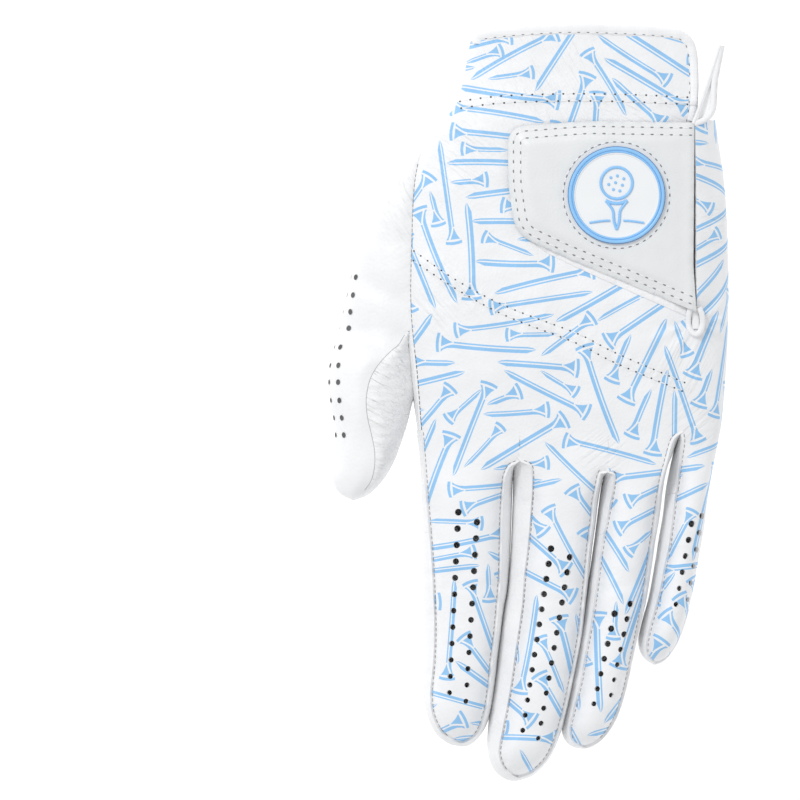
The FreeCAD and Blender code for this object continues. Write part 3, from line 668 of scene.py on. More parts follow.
def scatter_tees():
    """Tees laid one at a time across the widest gap left between the others."""
    draw = random.Random(11)
    step = 0.7
    xs, ys = np.arange(-38, 75, step), np.arange(-110, 109, step)
    gx, gy = np.meshgrid(xs, ys)
    places = np.stack([gx, gy], -1)
    room = np.full(gx.shape, 12.0) + np.random.default_rng(4).uniform(0, 6.0, gx.shape)
    shapes = []

    def to_segment(a, b):
        d = b - a
        t = np.clip(((places - a) @ d) / (d @ d), 0, 1)
        return np.hypot(*np.moveaxis(places - a - t[..., None] * d, -1, 0))

    def free_at(p):
        i = np.clip(((p[..., 1] - ys[0]) / step).round().astype(int), 0, len(ys) - 1)
        j = np.clip(((p[..., 0] - xs[0]) / step).round().astype(int), 0, len(xs) - 1)
        return room[i, j]

    for _ in range(1500):
        i, j = np.unravel_index(np.argmax(room), room.shape)
        if room[i, j] < 1.6:
            break
        centre, best = np.array([gx[i, j], gy[i, j]]), None
        for length in (28.0, 25.5, 23.0, 20.5, 18.0, 15.5, 13.0, 11.0):
            length *= draw.uniform(0.94, 1.06)
            broad = draw.uniform(0.74, 0.98) + 0.14 * (length > 19)
            first = draw.uniform(0, 2 * math.pi)
            along_axis = np.arange(0.6, length, 1.1)
            need = np.array([half_width(t, length, broad) + (0.42 if t > 3 else 0.05) for t in along_axis])
            for k in range(30):
                turn = first + 2 * math.pi * k / 30
                along = np.array([math.cos(turn), math.sin(turn)])
                for share in (0.5, 0.3, 0.72):
                    a = centre - along * length * share
                    if (free_at(a + along * along_axis[:, None]) > need).all():
                        best = (a, along, length, broad)
                        break
                if best:
                    break
            if best:
                break
        if not best:
            room[np.hypot(gx - centre[0], gy - centre[1]) < 1.3] = 0
            continue
        a, along, length, broad = best
        across = np.array([-along[1], along[0]]) * draw.choice((-1, 1))
        b = a + along * length
        room = np.minimum(room, to_segment(a, b) - 0.75 * broad)
        cup = b - along * 0.9
        room = np.minimum(room, to_segment(cup + across * 1.9 * broad, cup - across * 1.9 * broad) - 0.9)
        bend = draw.uniform(-0.004, 0.004)
        for shape in tee_shapes(length):
            shapes.append(np.array([a + along * px + across * (py * broad + bend * px * (length - px))
                                    for px, py in divided(shape, 4.0)]))
    return shapes


TEES = scatter_tees()


def perforations(rows):
    """Round ventilation holes in rows: (first, last, count). They get smaller towards the fingertip."""
    out = []
    for first, last, count in rows:
        for k in range(count):
            c = np.array(first) + (np.array(last) - np.array(first)) * k / (count - 1)
            radius = 0.98 - 0.24 * k / (count - 1)
            out.append(np.array([c + radius * np.array([math.cos(a), math.sin(a)])
                                 for a in np.linspace(0, 2 * math.pi, 14)[:-1]]))
    return out


def printed_panel(name, f, outline, holes=()):
    uv, tris, printed = flat_mesh(outline, TEES, holes)
    points, faces, marks = thick(print_map(f, uv), tris, LEATHER, printed)
    return make_object(name, points, faces, [PRINTED_WHITE, PRINTED_BLUE], marks)


# ---- back of the hand ----
def print_edge_x(y):
    """The flat print's edge on the little finger's side of the hand."""
    return float(SIDE(y)) - WRAP + WRAP * WRAP_STRETCH + UNDERLAP


def hand_outline():
    cuff = smooth_line([(-15.0, 102.0), (-13.2, 103.0), (-9.0, 104.0), (11.6, 104.9), (25.0, 104.7), (38.0, 103.9),
                        (42.6, 102.8), (45.0, 100.6), (46.2, 97.0), (46.4, 88.2), (46.0, 82.0), (45.9, 76.0)], 1.2)
    left = [(float(BACK_SEAM(y)), y) for y in np.arange(HAND_EDGE_Y, 101.5, 1.5)]
    low_right = [(print_edge_x(y), y) for y in np.arange(SLIT_Y, HAND_EDGE_Y - 0.1, -1.5)]
    slit = [(SLIT_X - 0.5, SLIT_Y + 1.0), (SLIT_X, SLIT_Y)]
    return np.array(left + [tuple(p) for p in cuff] + slit + low_right)


def side_outline():
    left = [(SLIT_X, SLIT_Y), (SLIT_X + 0.3, SLIT_Y + 1.5), (SLIT_X + 0.1, 60.0), (SLIT_X - 0.4, 78.6)]
    right = [(print_edge_x(y), y) for y in np.arange(79.0, SLIT_Y - 0.1, -1.5)]
    right[-1] = (right[-1][0], SLIT_Y)
    return np.array(left + right)


def side_rise(x, y):
    """How far the side leather stands over the tab's sewn end."""
    return 3.0 * ease((y - 25.0) / 5.0) * ease((79.5 - y) / 3.0) * (1 - ease((x - 46.4) / 6.5))


hand_back = printed_panel("back_panel_leather", None, hand_outline())
fixed_to("hand", hand_back, "back_panel")

uv, tris, printed = flat_mesh(side_outline(), TEES)
side_points = print_map(None, uv)
side_points[:, 2] += side_rise(side_points[:, 0], side_points[:, 1])
points, faces, marks = thick(side_points, tris, LEATHER, printed)
side_leather = make_object("side_panel_leather", points, faces, [PRINTED_WHITE, PRINTED_BLUE], marks)
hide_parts("side_panel")
spot(52, SLIT_Y, 8)
spot(52, SLIT_Y + 24.0, 8)
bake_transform(side_leather)


# ---- fingers ----
def edge_points(f, line):
    """3-D points of the printed leather's edge along a plan line, below the crotch."""
    return np.column_stack([line, glove_top(f, line[:, 0], line[:, 1])])


def resampled(points, count):
    points = np.asarray(points, float)
    s = np.concatenate([[0], np.cumsum(np.linalg.norm(np.diff(points, axis=0), axis=1))])
    t = np.linspace(0, s[-1], count)
    return np.stack([np.interp(t, s, points[:, k]) for k in range(points.shape[1])], 1)


def bezier(p0, p1, p2, p3, count):
    t = np.linspace(0, 1, count)[:, None]
    return (1 - t) ** 3 * p0 + 3 * (1 - t) ** 2 * t * p1 + 3 * (1 - t) * t * t * p2 + t ** 3 * p3


LITTLE_SIDE_END = -58.0   # the plain side of the little fingertip lies below this
FOOT = 2.2                # how far a wall turns in under the finger
# (finger, side) of the walls at the glove's outer edges, of those that slope outwards so that they show from above,
# and of those that lie close against the next finger
OUTSIDE = (("index", "left"), ("little", "right"))
SLOPING = (("ring", "left"), ("little", "left"))
TOUCHING = (("index", "right"), ("middle", "left"), ("middle", "right"), ("ring", "right"))


def wall_rows(f, side):
    """Rows of points down a finger's side, from the printed edge to the palm-side edge."""
    line = f[side + "_line"]
    first_outer = f["outer_" + side][0]
    start = np.argmin(np.abs(line[:, 1] - first_outer[1]) + np.abs(line[:, 0] - first_outer[0]))
    top = edge_points(f, line[start:])
    outer = smooth_line(f["outer_" + side], 0.9)
    count = int(len(top) * 0.9)
    top, outer = resampled(top, count), resampled(outer, count)
    rows, bottom = [], []
    tip_y = f["tip"][1]
    for i, (t, o) in enumerate(zip(top, outer)):
        y = max(o[1], tip_y + 9.0)
        core = np.array([(float(f["left_x"](y)) + float(f["right_x"](y))) / 2, y])
        inward = core - o
        inward /= np.linalg.norm(inward)
        swell, low = o - (t[:2] - o) * 0.16, o - (t[:2] - o) * 0.1
        if (f["name"], side) in SLOPING:
            swell, low = o + (t[:2] - o) * 0.45, o + (t[:2] - o) * 0.05 - inward * 0.35
        elif (f["name"], side) in TOUCHING:
            swell = o + (t[:2] - o) * (0.34 if side == "right" else 0.1)
            low = o - inward * (0.2 if f["name"] == "ring" else 1.15)
        foot = o + inward * FOOT * (1.0 if (f["name"], side) in OUTSIDE else float(ease(i / 4.0)))
        foot[1] = min(foot[1], first_outer[1] - 0.01 * i)
        fold = 0.35 * math.sin(i * 0.55) * math.sin(i * 0.13 + 1.0)
        p1 = np.array([*swell, t[2] * 0.74 + fold])
        p2 = np.array([*low, 1.8])
        rows.append(bezier(t, p1, p2, np.array([*foot, 0.5]), 11))
        bottom.append(foot)
    return rows, np.array(bottom)


def front_outline(f, left, right):
    """Palm-side leather of a finger, reaching up between the fingers to the crotches."""
    out = [tuple(p) for p in left] + [tuple(p) for p in right[::-1]]
    if right[0][1] < HAND_EDGE_Y - 0.5:
        out.append((f["reach"][1], HAND_EDGE_Y))
    if left[0][1] < HAND_EDGE_Y - 0.5:
        out.append((f["reach"][0], HAND_EDGE_Y))
    return np.array(out)


def front_sheet(name, outline, material, cuts=(), pins=(), dome=1.0):
    """Palm-side leather, hollow between its sewn edges and gently waved. cuts are the y of the edges where it runs
    on into the next piece, and pins are points of that piece's own edges.
    """
    uv, tris, _ = flat_mesh(outline, (), (), 2.2)
    dense = [p for p in divided(outline, 0.8) if all(abs(p[1] - y) > 0.3 for y in cuts)] + list(pins)
    d = nearest(dense, uv)
    x, y = uv[:, 0], uv[:, 1]
    uneven = 0.28 * np.sin(0.27 * x + 0.12 * y) * np.sin(0.15 * y - 0.11 * x + 0.7)
    uneven += 0.12 * np.sin(0.5 * x - 0.33 * y) * np.sin(0.21 * y + 0.3 * x)
    z = 0.45 * (1 - ease(d / 2.4)) + (0.6 + dome * (0.35 + uneven)) * ease(d / 6.0)
    points = np.column_stack([uv, z])
    points, faces, _ = thick(points, tris[:, ::-1], 0.6)
    points[:, 2] = np.maximum(points[:, 2], -0.05)
    return make_object(name, points, faces, [material])


def finger(f):
    name, split = f["name"], f["split"]
    near = ("hand", name + "_base", f["knuckle"], f["direction"], LITTLE_REACH if name == "little" else FINGER_REACH,
            FINGER_REACH)
    far = (name + "_base", name + "_tip", f["joint"], f["direction"], FINGER_REACH, FINGER_REACH)
    right = [tuple(p) for p in f["right_line"]]
    if name == "little":
        right = [(u + 0.45 * min(WRAP, max((u - float(f["left_x"](v))) * 0.45,
                                           0.5)) + UNDERLAP * ease((v + 75.0) / 9.0), v)
                 for u, v in right]
    outline = np.array([tuple(p) for p in f["left_line"]] + right[::-1])
    holes = perforations(f["holes"])
    for part, keep, joint in (("", 1, near), ("_tip", -1, far)):
        obj = printed_panel(f"{name}{part}_back_leather", f, cut_at(outline, split, keep), holes)
        nodes = [f"{name}{part}_back"] + ([f"little{part}_side"] if name == "little" else [])
        bending(obj, *joint, *nodes)
    walls = {side: wall_rows(f, side) for side in ("left", "right")}
    feet = {side: wall[1] for side, wall in walls.items()}
    last, other = (np.array(walls[side][0][-1]) for side in ("left", "right"))
    walls["left"][0].extend(last + (other - last) * share for share in (0.34, 0.67, 1.0))
    walls["right"][0].append(other + (last - other) * 0.34 + np.array([0, 0.25, 0]))
    for side in ("left", "right"):
        rows = walls[side][0]
        if name == "little" and side == "right":
            inner = np.array([r for r in rows if r[0][1] < LITTLE_SIDE_END])
            inner[:, :, 0] -= 0.55
            inner[:, :, 2] = np.maximum(inner[:, :, 2] - 0.5, 0.3)
            bending(sheet_from_rows("little_tip_side_leather", inner, PALM), *far)
            continue
        index = next(i for i, r in enumerate(rows) if r[0][1] < split)
        wall = f"{name}%s_side" if (name, side) == ("index", "left") else f"{name}%s_fourchette"
        if name in ("middle", "ring"):
            wall += "_" + side
        material = PALM if (name, side) == ("index", "left") else SIDES
        for part, piece, joint in (("", rows[:index + 1], near), ("_tip", rows[index:], far)):
            obj = sheet_from_rows(wall % part + "_leather", piece, material, flip=side == "left")
            bending(obj, *joint, wall % part)
    front = front_outline(f, feet["left"], feet["right"])
    for part, keep, joint in (("", 1, near), ("_tip", -1, far)):
        obj = front_sheet(f"{name}{part}_front_leather", cut_at(front, split, keep), PALM, (HAND_EDGE_Y, split))
        bending(obj, *joint, f"{name}{part}_front")


for f in FINGERS.values():
    finger(f)


# ---- palm, thumb and wrist sides ----
THUMB_OUTER = table([(-30.4, 70.4), (-35.1, 65.7), (-38.8, 60.1), (-42.7, 53.1), (-46.1, 45.8), (-49.1, 38.2),
                     (-50.8, 30.9), (-52.4, 24.3), (-54.1, 17.0), (-55.5, 12.2), (-56.3, 8.0), (-56.4, 4.0),
                     (-55.9, 0.0), (-54.9, -5.6), (-54.5, -11.1), (-54.9, -17.2), (-55.3, -20.8), (-54.6, -23.9),
                     (-52.8, -26.2), (-49.8, -27.7)])
THUMB_INNER = table([(-32.6, 19.0), (-32.0, 10.0), (-31.8, 3.2), (-32.9, -0.7), (-34.3, -6.6), (-36.5, -13.3),
                     (-38.2, -17.5), (-40.7, -21.7), (-43.7, -25.1), (-46.2, -26.8), (-48.8, -27.7)])
THUMB_SEAM = table([(-33.0, 21.0), (-35.4, 18.1), (-36.8, 15.8), (-39.3, 13.7), (-42.7, 9.9), (-44.9, 5.7),
                    (-45.8, 0.7), (-45.5, -4.1), (-44.4, -9.0), (-43.5, -13.6), (-43.5, -18.3), (-44.6, -22.5),
                    (-47.0, -25.6), (-49.3, -27.7)])
THUMB_TIP_Y = -27.7
THUMB_END = 19.5
THUMB_HOLES = [(-49.8, 34.8), (-51.0, 29.8), (-52.2, 25.1), (-53.3, 20.5), (-53.0, 15.2), (-53.5, 10.1), (-53.6, 5.4),
               (-53.2, 0.3), (-52.5, -4.6), (-52.0, -9.4)]


def thumb_seam_point(y):
    if y > THUMB_END:
        x = float(BACK_SEAM(y))
        return np.array([x, y, float(hand_top(x, y))])
    x = float(THUMB_SEAM(y))
    q = math.sqrt(max(0.0, 1 - (1 - min(max((y - THUMB_TIP_Y) / 11.0, 0), 1)) ** 2.2))
    z = 15.2 + 1.2 * float(ease((THUMB_END - y) / 12.0))
    joined = float(ease((THUMB_END - y) / 9.0))
    z = z * joined + float(hand_top(BACK_SEAM(THUMB_END), THUMB_END)) * (1 - joined)
    return np.array([x, y, 7.0 + (z - 7.0) * q])


def side_profile(top, outer_x, foot=PALM_EDGE):
    """Points over a rounded side: from its top seam out to its widest line and under to the palm."""
    x, y, z = top
    w = outer_x - x
    lift = 1 if abs(w) > 6 else 0.4
    sign = 1 if w > 0 else -1
    foot = min(foot, abs(w) * 0.5)
    line = [(x, z), (x + 0.28 * w, z + 0.25 * lift), (x + 0.58 * w, z - 0.10 * z), (x + 0.86 * w, z * 0.70),
            (outer_x, z * 0.44), (outer_x - sign * 0.25 * foot, z * 0.17), (outer_x - sign * foot, 0.45)]
    smooth = resampled(smooth_line(line, 1.0), PROFILE_POINTS)
    return np.column_stack([smooth[:, 0], np.full(PROFILE_POINTS, y), smooth[:, 1]])


def thumb_folds(points, y):
    """Soft creases of the thumb's smooth piece, where it bends in towards the palm."""
    x = points[:, 0]
    crease = 0
    for centre, slope, depth, width in ((31.0, -0.5, 0.55, 3.2), (14.0, -0.9, 0.4, 2.6), (46.0, -0.3, 0.4, 3.6)):
        crease = crease - depth * np.exp(-((y - centre - slope * (x + 42.0)) / width) ** 2)
    return crease + 0.35 * np.sin(0.3 * x + 0.22 * y) * np.sin(0.13 * y + 1.0)


def thumb_gathers(points, y):
    """Fine puckers of the gathered piece, across its seam."""
    d = np.abs(points[:, 0] - points[0, 0])
    fine = math.sin(2 * math.pi * y / 2.3 + 1.5 * math.sin(0.4 * y)) * np.exp(-(d / 4.5) ** 2)
    slow = np.sin(2 * math.pi * (y + 0.4 * d) / 6.1) * np.exp(-(d / 9.0) ** 2)
    return 0.42 * fine + 0.30 * slow


def thumb_rows(y_from, y_to, outer, ruffle):
    """Rows over the thumb's side from its seam. ruffle(row, y) is added to their heights, and fades at their ends."""
    rows = []
    k = np.arange(PROFILE_POINTS)
    fade = np.clip(k / 3.0, 0, 1) * np.clip((PROFILE_POINTS - 1 - k) / 8.0, 0, 1)
    for y in np.linspace(y_from, y_to, int(abs(y_to - y_from) / 0.7)):
        row = side_profile(thumb_seam_point(y), float(outer(y)))
        row[:, 2] += ruffle(row, y) * fade
        rows.append(row)
    return rows


def left_side_x(y):
    return THUMB_OUTER(y) if y < 70.4 else LEFT_EDGE(y)


THUMB_SPLIT = 8.0
THUMB_AXIS = np.array([-6.0, -48.0]) / math.hypot(6.0, 48.0)
THUMB_BASE = ("hand", "thumb_base", (-43.6, 19.0), THUMB_AXIS, 9.0, 9.0)
THUMB_TIP = ("thumb_base", "thumb_tip", (-45.2, -4.0), THUMB_AXIS, 8.0, 8.0)

thumb_base_rows = thumb_rows(70.2, THUMB_SPLIT, THUMB_OUTER, thumb_folds)
thumb = sheet_from_rows("thumb_front_leather", thumb_base_rows, PALM)
bending(thumb, *THUMB_BASE, "thumb_front", "thenar_panel")
thumb_tip_rows = thumb_rows(THUMB_SPLIT, THUMB_TIP_Y, THUMB_OUTER, thumb_folds)
bending(sheet_from_rows("thumb_tip_front_leather", thumb_tip_rows, PALM), *THUMB_TIP, "thumb_tip_front")
rows = thumb_rows(THUMB_END, THUMB_SPLIT, THUMB_INNER, thumb_gathers)
bending(sheet_from_rows("thumb_back_leather", rows, GATHERED, flip=True), *THUMB_BASE, "thumb_back")
rows = thumb_rows(THUMB_SPLIT, THUMB_TIP_Y, THUMB_INNER, thumb_gathers)
rows += [rows[-1] + (thumb_tip_rows[-1] - rows[-1]) * share for share in (0.34, 0.67, 1.0)]
bending(sheet_from_rows("thumb_tip_back_leather", rows, GATHERED, flip=True), *THUMB_TIP, "thumb_tip_back")


def thumb_underside(y0, y1):
    left, right = [], []
    for y in np.linspace(y0, y1, 24):
        seam = thumb_seam_point(y)[0]
        a, b = float(THUMB_OUTER(y)), float(THUMB_INNER(y))
        left.append((a + min(PALM_EDGE, (seam - a) * 0.5), y))
        right.append((b - min(PALM_EDGE, (b - seam) * 0.5), y))
    return np.array(left + right[::-1])


THUMB_UNDER_TOP = THUMB_END + 1.6
for part, y0, y1, joint in (("", THUMB_UNDER_TOP, THUMB_SPLIT, THUMB_BASE),
                            ("_tip", THUMB_SPLIT, THUMB_TIP_Y + 0.3, THUMB_TIP)):
    bending(front_sheet(f"thumb{part}_under_leather", thumb_underside(y0, y1), PALM, (THUMB_UNDER_TOP, THUMB_SPLIT),
                        dome=0.2), *joint)


def hand_side_rows(y_from, y_to):
    rows = []
    for y in np.linspace(y_from, y_to, int(abs(y_to - y_from) / 1.2) + 2):
        x = float(BACK_SEAM(y))
        rows.append(side_profile(np.array([x, y, float(glove_top(None, x, y))]), float(LEFT_EDGE(y)) - 0.2, foot=2.2))
    return rows


fixed_to("hand", sheet_from_rows("index_side_wrap_leather", hand_side_rows(26.0, HAND_EDGE_Y), PALM))
fixed_to("hand", sheet_from_rows("wrist_side_leather", hand_side_rows(101.0, 70.2), PALM), "wrist_side")

right_edge = [(float(SIDE(y)) - 2.4, y) for y in np.arange(HAND_EDGE_Y, 80.0, 2.0)]
right_edge += [(48.4, 81.0), (47.2, 83.0), (46.8, 88.0), (46.6, 98.0)]
left_edge = []
for y in np.arange(98.0, HAND_EDGE_Y - 0.1, -2.0):
    if y > THUMB_END:
        x = float(left_side_x(y))
        left_edge.append((x + min(PALM_EDGE, abs(x - float(BACK_SEAM(y))) * 0.5), y))
    else:
        left_edge.append((float(LEFT_EDGE(y)) + 1.4, y))
palm = front_sheet("palm_leather", np.array(right_edge + left_edge), PALM, (HAND_EDGE_Y,),
                   [(f["reach"][1], HAND_EDGE_Y) for f in FINGERS.values() if f["name"] != "little"])
fixed_to("hand", palm, "palm_panel")


# ---- cuff, slit and elastics ----
def on_back(line, lift):
    """3-D points at a height over the hand's printed leather, along a plan line."""
    z = glove_top(None, line[:, 0], line[:, 1]) + gathers(line[:, 0], line[:, 1])
    return np.column_stack([line, z + lift])


CUFF_EDGE = smooth_line([(-15.9, 100.3), (-15.4, 102.3), (-13.4, 103.6), (-9.5, 104.2), (0.0, 105.0), (11.6, 105.5),
                         (25.0, 105.2), (37.0, 104.5), (42.0, 103.8), (45.0, 101.8), (46.5, 98.6), (47.0, 94.0),
                         (47.1, 88.2), (46.8, 82.0), (46.2, 78.2)], 0.8)


def inset(line, distance):
    """A line moved to its right by a distance."""
    line = np.array(line)
    d = np.gradient(line, axis=0)
    d /= np.linalg.norm(d, axis=1)[:, None]
    return line + np.stack([d[:, 1], -d[:, 0]], 1) * distance


def tape_profile():
    """Section of the cuff's folded tape: a round fold at the edge, thinning to its sewn side."""
    width, height = 3.3, 2.3
    out = []
    for k in range(16):
        a = 2 * math.pi * k / 16
        x = width / 2 * math.cos(a)
        half = height / 2 * (1 - 0.38 * ease((x + width / 2) / width))
        out.append((x, half * math.sin(a)))
    return out


binding_path = on_back(inset(CUFF_EDGE, 1.5), -0.35)
k = np.arange(len(binding_path))
binding_path[:, 2] += 0.12 * np.sin(k * 0.9) * np.sin(k * 0.23)
binding = swept("cuff_binding_tape", binding_path, tape_profile(), TAPE)
fixed_to("hand", binding, "cuff_binding")

SLIT_LIFT = float(glove_top(None, np.array([SLIT_X]), np.array([SLIT_Y]))[0]) + 0.7
loop = smooth_line([(45.2, 27.4), (44.6, 25.0), (44.3, 22.6), (44.6, 20.6), (45.4, 19.3), (46.4, 18.8), (47.4, 19.3),
                    (48.1, 20.8), (48.3, 22.6), (48.0, 24.6), (47.2, 26.2)], 0.25)
loop_points = np.column_stack([loop, SLIT_LIFT + 1.5 * ease((loop[:, 1] - 21.0) / 6.0)])
fixed_to("hand", swept("slit_binding_tape", loop_points, oval(1.6, 1.6, 16, 2.2), TAPE), "slit_binding")
tongue_line = smooth_line([(46.0, 26.6), (46.3, 23.6), (46.4, 20.4)], 0.3)
tongue_z = SLIT_LIFT - 0.5 + 0.25 * (tongue_line[:, 1] - 20.4) / 6.0 * 4
fixed_to("hand", swept("slit_tongue_leather", np.column_stack([tongue_line, tongue_z]), oval(2.2, 1.0), PALM))

# the elastics lie inside, under their stitches, and end short of the side seams
ELASTIC_WIDTH, ELASTIC_LIFT = 7.0, -2.1
for node, rows in (("wrist_elastic", CUFF_ROWS), ("knuckle_elastic", KNUCKLE_ROWS)):
    count = min(len(r) for r in rows)
    centre = (resampled(rows[0], count) + resampled(rows[1], count)) / 2
    band = swept(node + "_band", on_back(centre[7:-3], ELASTIC_LIFT), oval(ELASTIC_WIDTH, 0.8), ELASTIC)
    fixed_to("hand", band, node)

# ---- the side of the cuff, beyond the slit: a standing leaf, hollow towards the glove, with taped edges ----
LEAF_LEFT = table([(45.6, 77.6), (47.3, 82.0), (49.2, 87.6), (51.1, 93.2), (52.8, 98.4), (53.2, 99.6)])
LEAF_RIGHT = table([(46.5, 77.6), (49.3, 78.8), (51.0, 80.6), (51.7, 83.2), (51.9, 87.0), (52.1, 89.8), (52.7, 93.0),
                    (53.7, 98.0), (54.0, 99.6)])
LEAF_FOOT_Y, LEAF_TOP_Y = 77.6, 99.6
leaf_rows, leaf_crest, leaf_edge = [], [], []
for y in np.linspace(LEAF_FOOT_Y, LEAF_TOP_Y, 40):
    k = (y - LEAF_FOOT_Y) / 22.0
    a, b = float(LEAF_LEFT(y)), float(LEAF_RIGHT(y))
    top = 19.0 - 4.0 * k
    line = smooth_line([(a, top + 0.6), (a + (b - a) * 0.35, top - 1.6 * (1 - k)),
                        (a + (b - a) * 0.75, top - 1.4 * (1 - k)),
                        (b - 0.5, top), (b, top - 1.2), (b - 0.1, top - 5.0), (b - 0.3, 6.0),
                        (max(b - 1.0, a + 0.4), 2.6),
                        (max(b - 2.4 * (1 - k), a + 0.3), 1.2)], 0.4)
    row = resampled(line, 30)
    leaf_rows.append(np.column_stack([row[:, 0], np.full(30, y), row[:, 1]]))
    leaf_crest.append((b - 0.55, y, top + 0.15))
    leaf_edge.append((a, y, top + 0.6))
fixed_to("wrist_flap", sheet_from_rows("cuff_side_leather", leaf_rows, PALM, flip=True), "cuff_side")
fixed_to("wrist_flap", swept("cuff_side_binding_tape", leaf_crest, oval(1.5, 1.3), TAPE), "cuff_side_binding")
fixed_to("wrist_flap", swept("cuff_side_slit_tape", leaf_edge, oval(0.9, 1.1), TAPE))


# ---- closure tab ----
def corner_line(points, radii, step=0.8):
    """An outline with tangent arcs at its corners."""
    out = []
    n = len(points)
    for i, r in enumerate(radii):
        p = np.array(points[i], float)
        a, b = np.array(points[i - 1], float) - p, np.array(points[(i + 1) % n], float) - p
        a, b = a / np.linalg.norm(a), b / np.linalg.norm(b)
        if not r:
            out.append(p)
            continue
        half = math.acos(float(a @ b)) / 2
        start, end = p + a * r / math.tan(half), p + b * r / math.tan(half)
        centre = p + (a + b) / np.linalg.norm(a + b) * r / math.sin(half)
        count = max(3, int(r * (math.pi - 2 * half) / step))
        for k in range(count + 1):
            q = start + (end - start) * k / count - centre
            out.append(centre + q / np.linalg.norm(q) * r)
    return np.array(out)


ROOT_X = 46.0             # the tab's sewn end
TAB_THICKNESS, TAB_ROUNDING = 1.5, 1.4
TAB = corner_line([(ROOT_X, 77.9), (16.0, 78.4), (-6.1, 76.7), (-6.1, 61.0), (-4.0, 46.8), (9.0, 40.6),
                   (ROOT_X + 0.6, 25.0), (ROOT_X - 0.3, 38.0)], [0, 70.0, 4.6, 40.0, 9.0, 40.0, 0, 60.0])


def distance_to(outline, points):
    """Distance in plan from each point to an outline."""
    return nearest(divided(outline, 0.35), points)


def tab_base(x, y):
    """Height of the tab's underside: over the closure's patches, and down at its free edges."""
    points = np.column_stack([np.ravel(x), np.ravel(y)])
    d = distance_to(TAB, points)
    z = hand_top(points[:, 0], points[:, 1]) + waves(points[:, 0], points[:, 1]) * 0.5
    near_root = ease((points[:, 0] - ROOT_X + 9.0) / 9.0)
    return z + 0.7 + 1.7 * ease(d / 6.0) * (1 - near_root) + 1.9 * near_root


def rounded(d, edge):
    """Share of a sheet's thickness at a distance from its outline, with its edge rounded over a width."""
    return 0.30 + 0.70 * np.sqrt(np.clip(1 - (1 - np.clip(d / edge, 0, 1)) ** 2, 0, 1))


def pad(name, outline, base, thickness, edge, materials, groove=None, grid=GRID):
    """A sheet of even thickness with a rounded edge, flat underneath. groove(points) lowers its top."""
    uv, tris, _ = flat_mesh(outline, (), (), grid)
    d = distance_to(outline, uv)
    low = base(uv[:, 0], uv[:, 1])
    high = low + thickness * rounded(d, edge)
    if groove is not None:
        high = high - groove(uv)
    n = len(uv)
    points = np.concatenate([np.column_stack([uv, high]), np.column_stack([uv, low])])
    sides = {(a, b) for t in tris for a, b in zip(t, np.roll(t, -1))}
    rim = [(b, a, a + n, b + n) for a, b in sides if (b, a) not in sides]
    faces = [tuple(t) for t in tris] + [tuple(t[::-1] + n) for t in tris] + rim
    return make_object(name, points, faces, materials)


TAB_END = int(np.argmin(np.hypot(TAB[:, 0] - ROOT_X - 0.6, TAB[:, 1] - 25.0)))
TAB_EDGE = resampled(TAB[:TAB_END + 1], 260)


def tab_row(distance):
    """A stitch line inside the tab's free edges."""
    line = inset(TAB_EDGE, -distance)
    return line[line[:, 0] < ROOT_X - 0.9]


TAB_ROWS = [tab_row(1.5), tab_row(3.5)]
BADGE_STITCH_R = 14.9


def tab_grooves(uv):
    z = np.zeros(len(uv))
    for row in TAB_ROWS:
        z += 0.22 * np.exp(-(near(row[::6], uv[:, 0], uv[:, 1])[0] / 0.55) ** 2)
    r = np.hypot(uv[:, 0] - BADGE[0], uv[:, 1] - BADGE[1])
    return z + 0.16 * np.exp(-((r - BADGE_STITCH_R) / 0.5) ** 2)


def tab_top(x, y):
    points = np.column_stack([np.ravel(x), np.ravel(y)])
    return tab_base(x, y) + TAB_THICKNESS * rounded(distance_to(TAB, points), TAB_ROUNDING) - tab_grooves(points)


tab = pad("tab_skin_synthetic", TAB, tab_base, TAB_THICKNESS, TAB_ROUNDING, [SYNTHETIC], tab_grooves, 1.0)
fixed_to("closure_tab", tab, "tab_skin")
TAB_MIDDLE = np.array([20.0, 58.0])
LINING = np.array([TAB_MIDDLE + (p - TAB_MIDDLE) * 0.975 for p in TAB])
lining = pad("tab_lining_cloth", LINING, lambda x, y: tab_base(x, y) - 0.42, 0.4, 0.5, [CLOTH], grid=2.2)
fixed_to("closure_tab", lining, "tab_lining")
HOOK = corner_line([(40.5, 70.5), (2.0, 71.5), (1.6, 52.0), (10.0, 48.0), (40.5, 34.5)], [2, 3, 5, 8, 2])
hook = pad("hook_tape_patch", HOOK, lambda x, y: tab_base(x, y) - 1.15, 0.7, 0.5, [HOOKS], grid=2.0)
fixed_to("closure_tab", hook, "hook_patch")
LOOP = corner_line([(44.4, 74.5), (-2.0, 74.5), (-2.2, 52.0), (2.5, 42.6), (14.0, 37.0),
                    (45.0, 23.3)], [1, 3, 6, 8, 30, 1])
loop_patch = pad("loop_fabric_patch", LOOP, lambda x, y: glove_top(None, x, y) + gathers(x, y) - 0.15, 0.95, 1.2,
                 [LOOPS],
                 lambda uv: 0.12 * np.sin(3.1 * uv[:, 0]) * np.sin(2.7 * uv[:, 1] + uv[:, 0]), 1.1)
fixed_to("hand", loop_patch, "loop_patch")


# ---- badge ----
def turned(name, profile, centre, height, material, segments=96):
    """A ring or disc turned from (radius, height) points, laid on the tab."""
    points, rows = [], len(profile)
    for k in range(segments):
        a = 2 * math.pi * k / segments
        for r, h in profile:
            points.append([centre[0] + r * math.cos(a), centre[1] + r * math.sin(a), h])
    points = np.array(points)
    points[:, 2] += height(points[:, 0], points[:, 1])
    faces = []
    for k in range(segments):
        n = (k + 1) % segments
        for j in range(rows - 1):
            faces.append((k * rows + j, n * rows + j, n * rows + j + 1, k * rows + j + 1))
    return make_object(name, points, faces, [material], sharp=40)


